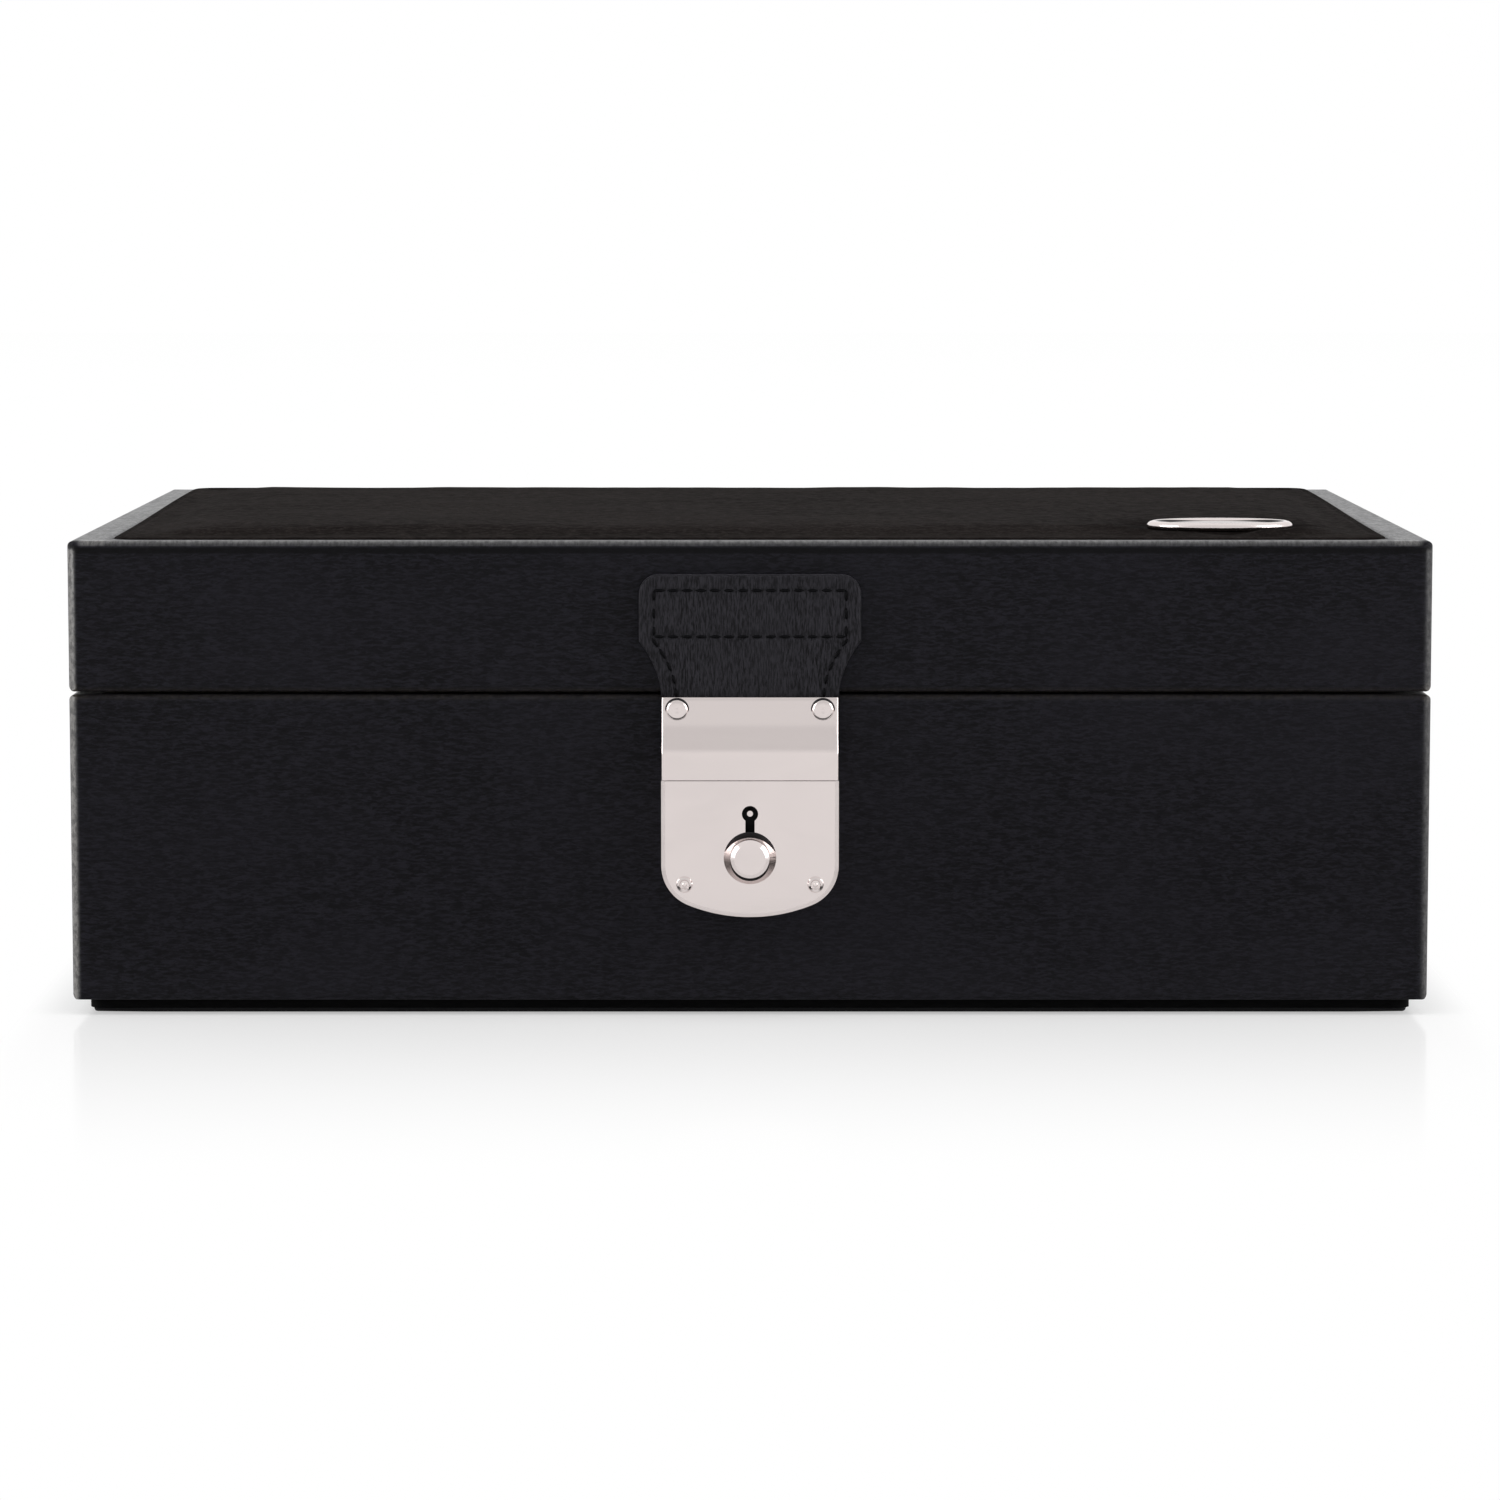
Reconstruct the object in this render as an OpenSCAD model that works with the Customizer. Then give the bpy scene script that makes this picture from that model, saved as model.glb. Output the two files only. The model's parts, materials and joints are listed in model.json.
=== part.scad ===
// Leather-covered cash box with a padded lid, a strap-and-hasp lock and a lift-out tray.
// Millimetres. +Z is up, the lock faces -Y, and the origin is the middle of the base's underside.

/* [Box] */
// Width of the leather-covered body
box_w = 303; // [260:1:340]
// Depth of the body, front to back
box_d = 210; // [180:1:240]
// Height from the surface it stands on to the lid's rim
box_h = 106.2; // [102:0.1:125]
// Height of the middle of the seam between case and lid
seam_z = 72.3; // [68:0.1:76]
// Open gap of the seam
seam_gap = 0.6; // [0.4:0.1:1]
// Radius of the upright corners
corner_r = 2.8; // [2:0.1:6]
// Radius along the level edges
edge_r = 1.6; // [1.4:0.1:2.6]

/* [Walls] */
// Thickness of the leather covering
leather_t = 1.25; // [0.8:0.05:1.35]
// Thickness of the wooden wall boards
board_t = 6; // [5:0.5:9]
// Thickness of the case's bottom board
bottom_t = 5; // [3:0.5:8]
// Thickness of the boards that line the case's well
lining_t = 1.8; // [1.4:0.1:3]
// Height of the lining's collar above the case's edge
collar_h = 4.4; // [2:0.1:8]
// Clearance between the collar and the inside of the lid
collar_clear = 0.6; // [0.5:0.1:1]
// Thickness of the fabric on the inside of the lid's walls
lid_lining_t = 1.2; // [0.8:0.1:2]

/* [Base] */
// Height of the base board
base_t = 2.4; // [1.6:0.1:5]
// Thickness of the felt under the base board
felt_t = 1; // [0.6:0.1:2]
// Inset of the base from the body's sides
base_inset_side = 3.3; // [2:0.1:8]
// Inset of the base from the body's front and back
base_inset_front = 5; // [2:0.1:10]
// Radius of the base's upright corners
base_corner_r = 3; // [1:0.5:8]

/* [Lid top] */
// Depth of the recess inside the lid's rim
recess_d = 7.7; // [6:0.1:9]
// Thickness of the board under the top pad
top_board_t = 5; // [3:0.5:6]
// Height of the pad's crown above the rim
pad_crown = 2.5; // [1:0.1:5]
// Depth of the pad's edge below the rim
pad_edge_drop = 0.5; // [0.4:0.1:3]
// Width over which the pad rises to its crown
pad_shoulder = 26; // [12:1:40]
// Radius of the rim's inner edge
rim_inner_r = 1.1; // [0.6:0.1:2]
// Clearance round each soft piece
soft_gap = 0.3; // [0.3:0.05:0.5]
// Thickness of the cushion inside the lid
inner_pad_t = 3.2; // [2:0.1:6]

/* [Badge] */
// Length of the oval badge
badge_l = 33; // [20:1:44]
// Width of the oval badge
badge_w = 22; // [14:1:30]
// Thickness of the badge
badge_t = 1.8; // [1:0.1:3]
// Distance of the badge's middle from the right side
badge_from_side = 44.5; // [40:0.5:80]
// Distance of the badge's middle from the front
badge_from_front = 34; // [32:0.5:80]
// Depth that the badge sinks into the pad
badge_sink = 1.7; // [0.6:0.1:1.8]
// Radius of the badge's two prongs
prong_r = 1.1; // [0.8:0.1:1.5]

/* [Strap] */
// Width of the sewn strap
strap_w = 49.3; // [40:0.1:60]
// Width of the strap where it enters the hasp plate
strap_neck_w = 39.4; // [39.2:0.1:46]
// How far up the strap's neck stays narrow
neck_curve = 1.9; // [1.2:0.1:3]
// Thickness of the strap
strap_t = 2.4; // [2.2:0.1:3.2]
// Height of the strap's top edge above the seam
strap_rise = 26.6; // [24:0.1:27.5]
// Height of the strap's fold above the seam
fold_rise = 10.3; // [8:0.1:12]
// Radius of the strap's top corners
strap_corner_r = 4.5; // [2:0.1:8]
// Clearance behind the loose end of the strap
flap_gap = 0.35; // [0.3:0.05:0.6]

/* [Hasp] */
// Width of the hasp plate
hasp_w = 39.2; // [34:0.1:46]
// Thickness of the hasp plate
hasp_t = 1.5; // [1.2:0.1:1.8]
// Drop of the hasp plate's top edge below the seam
hasp_top_drop = 0.45; // [0.2:0.05:2]
// Thickness of the hasp's raised lower part
hasp_nose_t = 2.2; // [1.8:0.1:2.6]
// Height of the hasp's bend
hasp_bend_h = 5; // [4:0.1:5.1]
// Gap between the hasp's lower edge and the lock
hasp_gap = 0.25; // [0.2:0.05:0.5]
// Thickness of the staple
staple_t = 2.6; // [2:0.1:3]
// Height of the staple
staple_h = 3.4; // [3.1:0.1:3.5]
// Thickness of the steel strip behind the strap's end
backing_t = 0.6; // [0.4:0.1:0.8]
// Radius of the hasp's domed rivets
hasp_rivet_r = 2.45; // [1.8:0.05:3]
// Distance of each hasp rivet from the middle
hasp_rivet_x = 16.1; // [10:0.1:16.5]
// Drop of the hasp rivets below the plate's top edge
hasp_rivet_drop = 2.85; // [2.6:0.05:3.4]

/* [Lock] */
// Width of the lock's case
lock_w = 39.3; // [36:0.1:48]
// Height of the lock's face
lock_h = 30.4; // [29:0.1:34]
// Drop of the lock's parting line below the seam
lock_drop = 18.7; // [18:0.1:20]
// Depth that the lock stands out from the front
lock_proud = 8; // [7.8:0.1:9]
// Wall thickness of the lock's case
lock_wall = 1.4; // [1:0.1:1.6]
// Bevel round the lock's face
lock_bevel = 0.9; // [0.4:0.1:1.2]
// Radius of the lock's rounded belly
lock_belly_r = 36.6; // [30:0.1:60]
// Radius of the lock's lower corners
lock_corner_r = 9.5; // [6:0.1:12]
// Height of the ledge behind the hasp
ledge_h = 6.4; // [6.3:0.1:6.7]
// Thickness of the ledge above the staple's window
ledge_roof = 1.1; // [0.8:0.1:1.2]
// Thickness of the lock's backplate
backplate_t = 1; // [0.8:0.1:1.2]
// Radius of the lock's lower rivets
lock_rivet_r = 1.8; // [1.4:0.05:2.4]
// Distance of the lock's rivets from the middle
lock_rivet_x = 14.5; // [14:0.1:14.9]
// Height of the lower rivets above the lock's lowest point
lock_rivet_rise = 7.4; // [6.5:0.1:9]

/* [Button and key] */
// Radius of the push button
button_r = 4.25; // [3.6:0.05:4.6]
// Depth that the button stands out from the lock's face
button_proud = 3; // [2.4:0.1:4]
// Travel of the button
button_travel = 2.2; // [1.8:0.1:2.2]
// Height of the button's middle above the lock's lowest point
button_rise = 13.3; // [13:0.1:13.8]
// Width of the dished ring round the button
dish_w = 1.45; // [1:0.05:1.8]
// Depth of the dished ring
dish_d = 0.8; // [0.4:0.1:0.9]
// Drop of the keyhole's middle below the parting line
key_drop = 7.3; // [6.5:0.1:8]
// Radius of the round part of the keyhole
keyhole_r = 1.8; // [1.4:0.05:2.4]
// Width of the keyhole's slot
key_slot_w = 2.06; // [1.4:0.02:2.6]
// Radius of the post inside the keyhole
key_post_r = 0.65; // [0.5:0.05:0.9]
// Travel of the bolt for each millimetre of the button's travel
bolt_ratio = 1.6; // [1.5:0.05:1.7]
// Thickness of the bolt
bolt_t = 1.1; // [0.9:0.1:1.2]
// Running clearance of the sliding lock pieces
slide_clear = 0.12; // [0.08:0.02:0.2]

/* [Hinges] */
// Width of each hinge
hinge_w = 44; // [30:1:60]
// Distance of each hinge's middle from the box's side
hinge_inset = 59.5; // [50:0.5:80]
// Radius of the hinge's knuckles
knuckle_r = 2.2; // [1.9:0.1:2.6]
// Radius of the hinge's pin
pin_r = 1.1; // [0.8:0.1:1.2]
// Reach of each leaf over the wall's edge
leaf_reach = 6; // [5.4:0.1:6.4]
// Number of knuckles on each hinge
knuckles = 5; // [3:2:7]
// Radius of the hinge screws' heads
screw_head_r = 1.7; // [1.4:0.1:2]
// Radius of the hinge screws' shanks
screw_shank_r = 0.8; // [0.6:0.1:1]
// Length of the hinge screws
screw_l = 9; // [6:1:14]
// Distance between neighbouring hinge screws
screw_pitch = 14; // [10:1:20]

/* [Tray] */
// Height of the tray
tray_h = 27; // [20:1:40]
// Drop of the tray's top below the case's edge
tray_drop = 1.5; // [0.5:0.1:6]
// Thickness of the tray's outer walls
tray_wall_t = 3.2; // [2:0.1:5]
// Thickness of the tray's floor
tray_floor_t = 2.4; // [1.6:0.1:4]
// Clearance between the tray and the lining
tray_clear = 0.6; // [0.4:0.1:1.5]
// Thickness of the tray's dividers
divider_t = 2.4; // [1.6:0.1:4]
// Drop of the dividers below the tray's top
divider_drop = 3; // [1:0.5:8]
// Depth of the front row of compartments
coin_row_d = 76; // [60:1:110]
// Number of compartments in the front row
coin_cells = 5; // [2:1:7]
// Number of compartments in the back row
note_cells = 2; // [1:1:4]
// Thickness of the felt on the tray's floor
tray_felt_t = 1; // [0.6:0.1:2]
// Width of the ledges that carry the tray
rest_w = 6; // [4:0.5:12]
// Height of the ledges that carry the tray
rest_h = 4; // [3:0.5:10]
// Length of the ledges that carry the tray
rest_l = 150; // [80:1:165]
// Width of the leather pulls
pull_w = 18; // [12:1:30]
// Thickness of the leather pulls
pull_t = 1.6; // [1:0.1:2.5]
// Height of the pulls above the tray
pull_rise = 4; // [2:0.5:8]
// Thickness of the pad on the case's floor
floor_pad_t = 2.5; // [1.5:0.1:6]

/* [Hidden] */
$fn = 64;

// Colours
LEATHER = [0.13, 0.12, 0.14];
PAD = [0.2, 0.18, 0.18];
STRAP = [0.19, 0.19, 0.21];
NICKEL = [0.83, 0.79, 0.78];
WOOD = [0.74, 0.58, 0.4];
SUEDE = [0.45, 0.33, 0.25];
FELT = [0.1, 0.1, 0.1];
BRASS = [0.75, 0.62, 0.35];

// Small amounts
over = 1;
fit = 0.05;
least_r = 0.2;

// Heights of the case
base_top = felt_t + base_t;
case_top = seam_z - seam_gap / 2;
lid_bottom = seam_z + seam_gap / 2;
bottom_z = base_top + leather_t;
floor_z = bottom_z + bottom_t;
collar_top = case_top + collar_h;

// Widths and depths of the well, inside the boards and inside the lining
wall_t = leather_t + board_t;
well_w = box_w - 2 * wall_t;
well_d = box_d - 2 * wall_t;
lined_w = well_w - 2 * lining_t;
lined_d = well_d - 2 * lining_t;

// Lid
rim_w = wall_t + leather_t;
recess_z = box_h - recess_d;
lid_ceiling = recess_z - top_board_t;
pad_w = box_w - 2 * rim_w - 2 * soft_gap;
pad_d = box_d - 2 * rim_w - 2 * soft_gap;
pad_base = recess_z + soft_gap;
pad_edge_z = box_h - pad_edge_drop;
pad_top = box_h + pad_crown;
pad_corner_r = 3;
crown_steps = 10;
badge_x = box_w / 2 - badge_from_side;
badge_y = -box_d / 2 + badge_from_front;
badge_z = pad_top - badge_sink;
prong_x = badge_l / 4;
badge_sides = 48;
inner_pad_base = lid_ceiling - soft_gap - inner_pad_t;

// Strap and hasp
strap_top = seam_z + strap_rise;
fold_z = seam_z + fold_rise;
flap_mid = (flap_gap + strap_t) / 2;
flap_r = (strap_t - flap_gap) / 2;
anchor_bottom = fold_z + flap_r + 0.5;
taper_top = anchor_bottom;
hasp_top = seam_z - hasp_top_drop;
lock_top = seam_z - lock_drop;
hasp_bottom = lock_top + hasp_gap;
nose_in = lock_proud - hasp_nose_t;
hasp_out = strap_t + hasp_t;
ledge_gap = 0.3;
ledge_out = nose_in - ledge_gap;
ledge_top = lock_top + ledge_h;
bend_in_low = ledge_top + 0.3;
bend_low = bend_in_low + 1.1;
strap_end = bend_in_low + hasp_bend_h + 0.6;
taper_steps = 12;
bend_steps = 10;
joggle_end = 0.2;
hasp_rivet_z = hasp_top - hasp_rivet_drop;
rivet_shank_r = 1.2;
rivet_dome_h = 0.9;

// Staple and its window
window_side = 0.45;
window_below = 0.35;
window_above = 0.75;
window_high = ledge_top - ledge_roof;
staple_z = window_high - window_above - staple_h / 2;
window_low = staple_z - staple_h / 2 - window_below;
staple_tip = backplate_t + 0.35;
bolt_in = backplate_t + 1.3;
bolt_mid = bolt_in + bolt_t / 2;
bolt_h = 1.4;
eye_clear = 0.25;

// Lock
lock_bottom = lock_top - lock_h;
lock_hw = lock_w / 2;
belly_z = lock_bottom + lock_belly_r;
corner_x = lock_hw - lock_corner_r;
corner_z = belly_z - sqrt(pow(lock_belly_r - lock_corner_r, 2) - pow(corner_x, 2));
ledge_side = 0.6;
lock_rivet_z = lock_bottom + lock_rivet_rise;
ledge_rivet_r = 1;
button_z = lock_bottom + button_rise;
flange_w = 0.95;
flange_t = 0.8;
flange_out = lock_proud - lock_wall - slide_clear;
flange_in = flange_out - flange_t;
key_z = lock_top - key_drop;
dish_r = button_r + slide_clear + dish_w;
rivet_reach = wall_t - 2;

// Bolt, with its foot under the button
bolt_rest_x = staple_t / 2 + 0.6;
foot_low = lock_bottom + 3.4;
foot_high = foot_low + 3.6;
foot_floor = 0.9;
foot_left = -5.2;
foot_w = 13;
foot_lip = 1.1;
foot_over = 0.3;
tail_left = 1;
tail_w = 6;
slot_clear = 0.2;
blade_tip_gap = 1;
arm_left = 9.7;
arm_right = 12.4;
foot_out = bolt_in + bolt_t + 1.9;
blade_t = 1.2;
blade_in = backplate_t + blade_tip_gap + button_travel;
blade_x = -3;
blade_high = foot_high + 1.1;
spring_r = 2.6;
spring_wire_r = 0.3;
spring_turns = 4;
spring_sides = 8;
spring_steps = 20;

// Hinges
axis_y = box_d / 2 + knuckle_r + 0.4;
leaf_gap = 0.15;
leaf_t = seam_gap / 2 + leather_t - leaf_gap;
hinge_x = box_w / 2 - hinge_inset;
knuckle_gap = 0.3;
leaf_y0 = box_d / 2 - leaf_reach;
leaf_y1 = axis_y - knuckle_r - 0.3;
screw_y = box_d / 2 - leaf_reach / 2 - 0.4;
screw_head_h = 0.9;

// Tray
tray_w = lined_w - 2 * tray_clear;
tray_d = lined_d - 2 * tray_clear;
tray_top = case_top - tray_drop;
tray_z = tray_top - tray_h;
tray_inner_w = tray_w - 2 * tray_wall_t;
tray_inner_d = tray_d - 2 * tray_wall_t;
tray_deck = tray_z + tray_floor_t;
seat_gap = 0.2;
divider_top = tray_top - divider_drop;
divider_y = -tray_inner_d / 2 + coin_row_d + divider_t / 2;
coin_pitch = (tray_inner_w + divider_t) / coin_cells;
note_pitch = (tray_inner_w + divider_t) / note_cells;
note_row_d = tray_inner_d - coin_row_d - divider_t;
pull_depth = 12;

// Distance out from the front face, as a Y coordinate
function out(p) = -box_d / 2 - p;

// A step from 0 to 1 with a straight middle and rounded ends
function joggle(t) = (t < joggle_end ? t * t / (2 * joggle_end)
    : t > 1 - joggle_end ? 1 - joggle_end - (1 - t) * (1 - t) / (2 * joggle_end)
    : t - joggle_end / 2) / (1 - joggle_end);

// Points of a quarter-round shoulder that rises by h over a width w
function shoulder(x, z, w, h) = [for (i = [0 : crown_steps])
    [x - w * (1 - cos(90 * i / crown_steps)), z + h * sin(90 * i / crown_steps)]];

function mirrored(points) = [for (i = [len(points) - 1 : -1 : 0]) [-points[i][0], points[i][1]]];

// Half-width of the strap's loose end at a fraction of its taper
function neck(t) = strap_neck_w / 2 + (strap_w - strap_neck_w) / 2 * pow(t, neck_curve);

// ---------- general shapes ----------

module round_rect(w, h, r) {
    square([w - 2 * r, h], center = true);
    square([w, h - 2 * r], center = true);
    for (sx = [-1, 1], sy = [-1, 1])
        translate([sx * (w / 2 - r), sy * (h / 2 - r)]) circle(r);
}

// Box from z0 to z1 whose twelve edges are rounded, drawn in by inset on every side
module soft_block(z0, z1, inset) {
    w = box_w - 2 * inset;
    d = box_d - 2 * inset;
    h = z1 - z0 - 2 * inset;
    mid = (z0 + z1) / 2;
    level_r = max(edge_r - inset, least_r);
    intersection() {
        translate([0, 0, z0 + inset])
            linear_extrude(h) round_rect(w, d, max(corner_r - inset, least_r));
        translate([0, d / 2, mid])
            rotate([90, 0, 0]) linear_extrude(d) round_rect(w, h, level_r);
        translate([-w / 2, 0, mid])
            rotate([90, 0, 90]) linear_extrude(w) round_rect(d, h, level_r);
    }
}

// Upright prism over the well, from z0 to z1
module well(z0, z1) {
    translate([-well_w / 2, -well_d / 2, z0]) cube([well_w, well_d, z1 - z0]);
}

module plate(w, d, z0, z1) {
    translate([-w / 2, -d / 2, z0]) cube([w, d, z1 - z0]);
}

module round_plate(w, d, r, z0, z1) {
    translate([0, 0, z0]) linear_extrude(z1 - z0) round_rect(w, d, r);
}

// Lays a drawing made in X and Z on the front face, from p0 to p1 out of the leather
module on_front(p0, p1) {
    translate([0, out(p0), 0]) rotate([90, 0, 0]) linear_extrude(p1 - p0) children();
}

// Round bar out of the front face
module front_rod(x, z, r, p0, p1) {
    translate([x, out(p0), z]) rotate([90, 0, 0]) cylinder(h = p1 - p0, r = r);
}

// Domed rivet head with a ring groove and a centre dot, and its shank behind it
module rivet(x, z, r, dome_h, face, shank_r, shank_end) {
    ring_r = r * 0.62;
    dot_r = r * 0.2;
    groove = dome_h * 0.22;
    translate([x, out(face), z]) rotate([90, 0, 0]) rotate_extrude()
        polygon([[0, shank_end - face], [shank_r, shank_end - face], [shank_r, 0], [r, 0],
                 [r, dome_h * 0.35], [r * 0.88, dome_h * 0.72], [ring_r, dome_h * 0.95],
                 [ring_r - groove, dome_h * 0.95 - groove], [dot_r + groove, dome_h - groove],
                 [dot_r, dome_h], [0, dome_h]]);
}

// ---------- case ----------

module case_outer(inset) {
    soft_block(base_top, case_top, inset);
}

module hinge_places() {
    for (sx = [-1, 1]) translate([sx * hinge_x, 0, 0]) children();
}

// Pocket for a leaf in the wall's edge; up is 1 for the lid and -1 for the case
module leaf_pocket(up) {
    low = up > 0 ? seam_z - over : seam_z - leaf_gap - leaf_t - fit;
    high = up > 0 ? seam_z + leaf_gap + leaf_t + fit : seam_z + over;
    translate([-hinge_w / 2 - fit, leaf_y0 - fit, low]) cube([hinge_w + 2 * fit, leaf_reach + over, high - low]);
}

module screw(up, extra) {
    head_z = seam_z + up * leaf_gap;
    for (i = [-1, 0, 1])
        translate([i * screw_pitch, screw_y, head_z]) mirror([0, 0, up > 0 ? 1 : 0])
            translate([0, 0, -screw_l]) {
                cylinder(h = screw_l, r = screw_shank_r + extra);
                translate([0, 0, screw_l - screw_head_h])
                    cylinder(h = screw_head_h, r1 = screw_shank_r + extra, r2 = screw_head_r + extra);
            }
}

module case_wood() {
    difference() {
        case_outer(leather_t);
        well(base_top - over, case_top + over);
        hinge_places() leaf_pocket(-1);
        hinge_places() screw(-1, fit);
        lock_rivet_holes();
    }
}

module lock_rivet_holes() {
    for (sx = [-1, 1]) {
        front_rod(sx * lock_rivet_x, lock_rivet_z, lock_rivet_r / 2 + fit, -rivet_reach - fit, over);
        front_rod(sx * lock_rivet_x, staple_z, ledge_rivet_r + fit, -rivet_reach - fit, over);
    }
}

module wall_slab(side) {
    reach = box_w;
    if (side == "front") translate([-reach, -box_d, 0]) cube([2 * reach, box_d - well_d / 2, reach]);
    if (side == "back") translate([-reach, well_d / 2, 0]) cube([2 * reach, box_d, reach]);
    if (side == "left") translate([-box_w, -well_d / 2, 0]) cube([box_w - well_w / 2, well_d, reach]);
    if (side == "right") translate([well_w / 2, -well_d / 2, 0]) cube([box_w, well_d, reach]);
}

module case_panel(side) {
    color(WOOD) intersection() {
        case_wood();
        wall_slab(side);
    }
}

module base_felt() {
    color(FELT) round_plate(box_w - 2 * base_inset_side, box_d - 2 * base_inset_front,
                            base_corner_r, 0, felt_t);
}

module base_board() {
    color(FELT) round_plate(box_w - 2 * base_inset_side, box_d - 2 * base_inset_front,
                            base_corner_r, felt_t, base_top);
}

module case_bottom_panel() {
    color(WOOD) plate(well_w, well_d, bottom_z, floor_z);
}

module case_leather() {
    color(LEATHER) difference() {
        case_outer(0);
        case_outer(leather_t);
        well(base_top - over, case_top + over);
        hinge_places() leaf_pocket(-1);
        lock_rivet_holes();
    }
}

// Lining board; its collar stands back from the lid by collar_clear
module case_lining(side) {
    color(SUEDE) intersection() {
        difference() {
            union() {
                well(floor_z, case_top);
                plate(well_w - 2 * collar_clear, well_d - 2 * collar_clear, case_top - over, collar_top);
            }
            plate(lined_w, lined_d, floor_z - over, collar_top + over);
        }
        lining_slab(side);
    }
}

module lining_slab(side) {
    if (side == "front") translate([-box_w, -box_d, 0]) cube([2 * box_w, box_d - lined_d / 2, 2 * box_h]);
    if (side == "back") translate([-box_w, lined_d / 2, 0]) cube([2 * box_w, box_d, 2 * box_h]);
    if (side == "left") translate([-box_w, -lined_d / 2, 0]) cube([box_w - lined_w / 2, lined_d, 2 * box_h]);
    if (side == "right") translate([lined_w / 2, -lined_d / 2, 0]) cube([box_w, lined_d, 2 * box_h]);
}

module floor_pad() {
    color(SUEDE) round_plate(lined_w - 2 * soft_gap, lined_d - 2 * soft_gap, pad_corner_r,
                             floor_z + soft_gap, floor_z + soft_gap + floor_pad_t);
}

module tray_rest(sx) {
    rest_top = tray_z - seat_gap;
    chamfer = 1;
    color(SUEDE) translate([0, rest_l / 2, 0]) rotate([90, 0, 0]) linear_extrude(rest_l)
        polygon([[sx * lined_w / 2, rest_top - rest_h], [sx * (lined_w / 2 - rest_w + chamfer), rest_top - rest_h],
                 [sx * (lined_w / 2 - rest_w), rest_top - rest_h + chamfer],
                 [sx * (lined_w / 2 - rest_w), rest_top], [sx * lined_w / 2, rest_top]]);
}

// ---------- lock ----------

// Face outline of the lock, drawn in by inset: straight sides, rounded corners, arched belly
module lock_outline(inset) {
    translate([-lock_hw + inset, corner_z]) square([lock_w - 2 * inset, lock_top - inset - corner_z]);
    for (sx = [-1, 1]) translate([sx * corner_x, corner_z]) circle(lock_corner_r - inset);
    intersection() {
        translate([0, belly_z]) circle(lock_belly_r - inset, $fn = 128);
        lock_wedge();
    }
}

module ledge_outline(inset) {
    side = lock_hw - ledge_side - inset;
    translate([-side, corner_z]) square([2 * side, ledge_top - inset - corner_z]);
}

// Solid of the lock's face with its bevelled edge, from the leather to its front
module lock_solid() {
    flat = lock_proud - lock_bevel;
    translate([0, out(0), 0]) rotate([90, 0, 0]) {
        linear_extrude(flat) lock_outline(0);
        lock_bevel_side();
        for (sx = [-1, 1]) translate([sx * corner_x, corner_z, flat])
            cylinder(h = lock_bevel, r1 = lock_corner_r, r2 = lock_corner_r - lock_bevel);
        intersection() {
            translate([0, belly_z, flat])
                cylinder(h = lock_bevel, r1 = lock_belly_r, r2 = lock_belly_r - lock_bevel, $fn = 128);
            translate([0, 0, flat]) linear_extrude(lock_bevel) lock_wedge();
        }
    }
}

// Sector of the belly between its corners, widening downwards from their centres
module lock_wedge() {
    reach = [corner_x, corner_z - belly_z] * 2;
    polygon([[corner_x, corner_z], [-corner_x, corner_z],
             [-reach[0], belly_z + reach[1]], [reach[0], belly_z + reach[1]]]);
}

// Bevelled straight part above the corners, as a prism along the lock's height
module lock_bevel_side() {
    flat = lock_proud - lock_bevel;
    translate([0, lock_top, 0]) rotate([90, 0, 0])
        linear_extrude(lock_top - corner_z)
            polygon([[-lock_hw, flat], [-lock_hw + lock_bevel, lock_proud],
                     [lock_hw - lock_bevel, lock_proud], [lock_hw, flat]]);
}

module staple_window() {
    w = staple_t + 2 * window_side;
    on_front(backplate_t, ledge_out + over)
        translate([-w / 2, window_low]) square([w, window_high - window_low]);
}

module keyhole() {
    on_front(lock_proud - lock_wall - over, lock_proud + over) {
        translate([0, key_z]) circle(keyhole_r);
        translate([-key_slot_w / 2, button_z + dish_r - over])
            square([key_slot_w, key_z - button_z - dish_r + over]);
    }
}

module lock_body() {
    color(NICKEL) difference() {
        union() {
            lock_solid();
            on_front(0, ledge_out) ledge_outline(0);
        }
        on_front(-over, lock_proud - lock_wall) lock_outline(lock_wall);
        on_front(-over, ledge_out - lock_wall) ledge_outline(lock_wall);
        staple_window();
        keyhole();
        front_rod(0, button_z, button_r + slide_clear, 0, lock_proud + over);
        translate([0, out(lock_proud - dish_d), button_z]) rotate([90, 0, 0])
            cylinder(h = dish_d, r1 = button_r + slide_clear, r2 = dish_r);
        for (sx = [-1, 1]) {
            front_rod(sx * lock_rivet_x, lock_rivet_z, lock_rivet_r / 2 + fit, 0, lock_proud + over);
            front_rod(sx * lock_rivet_x, staple_z, ledge_rivet_r + fit, 0, ledge_out + over);
        }
    }
}

module lock_backplate() {
    color(BRASS) difference() {
        on_front(0, backplate_t) {
            lock_outline(lock_wall + fit);
            ledge_outline(lock_wall + fit);
        }
        for (sx = [-1, 1]) {
            front_rod(sx * lock_rivet_x, lock_rivet_z, lock_rivet_r / 2 + fit, -over, backplate_t + over);
            front_rod(sx * lock_rivet_x, staple_z, ledge_rivet_r + fit, -over, backplate_t + over);
        }
    }
}

module lock_rivets() {
    color(NICKEL) for (sx = [-1, 1]) {
        rivet(sx * lock_rivet_x, lock_rivet_z, lock_rivet_r, 0.7, lock_proud, lock_rivet_r / 2, -rivet_reach);
        front_rod(sx * lock_rivet_x, staple_z, ledge_rivet_r, -rivet_reach, ledge_out);
    }
}

module key_post() {
    color(NICKEL) front_rod(0, key_z, key_post_r, backplate_t, lock_proud - 0.6);
}

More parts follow.
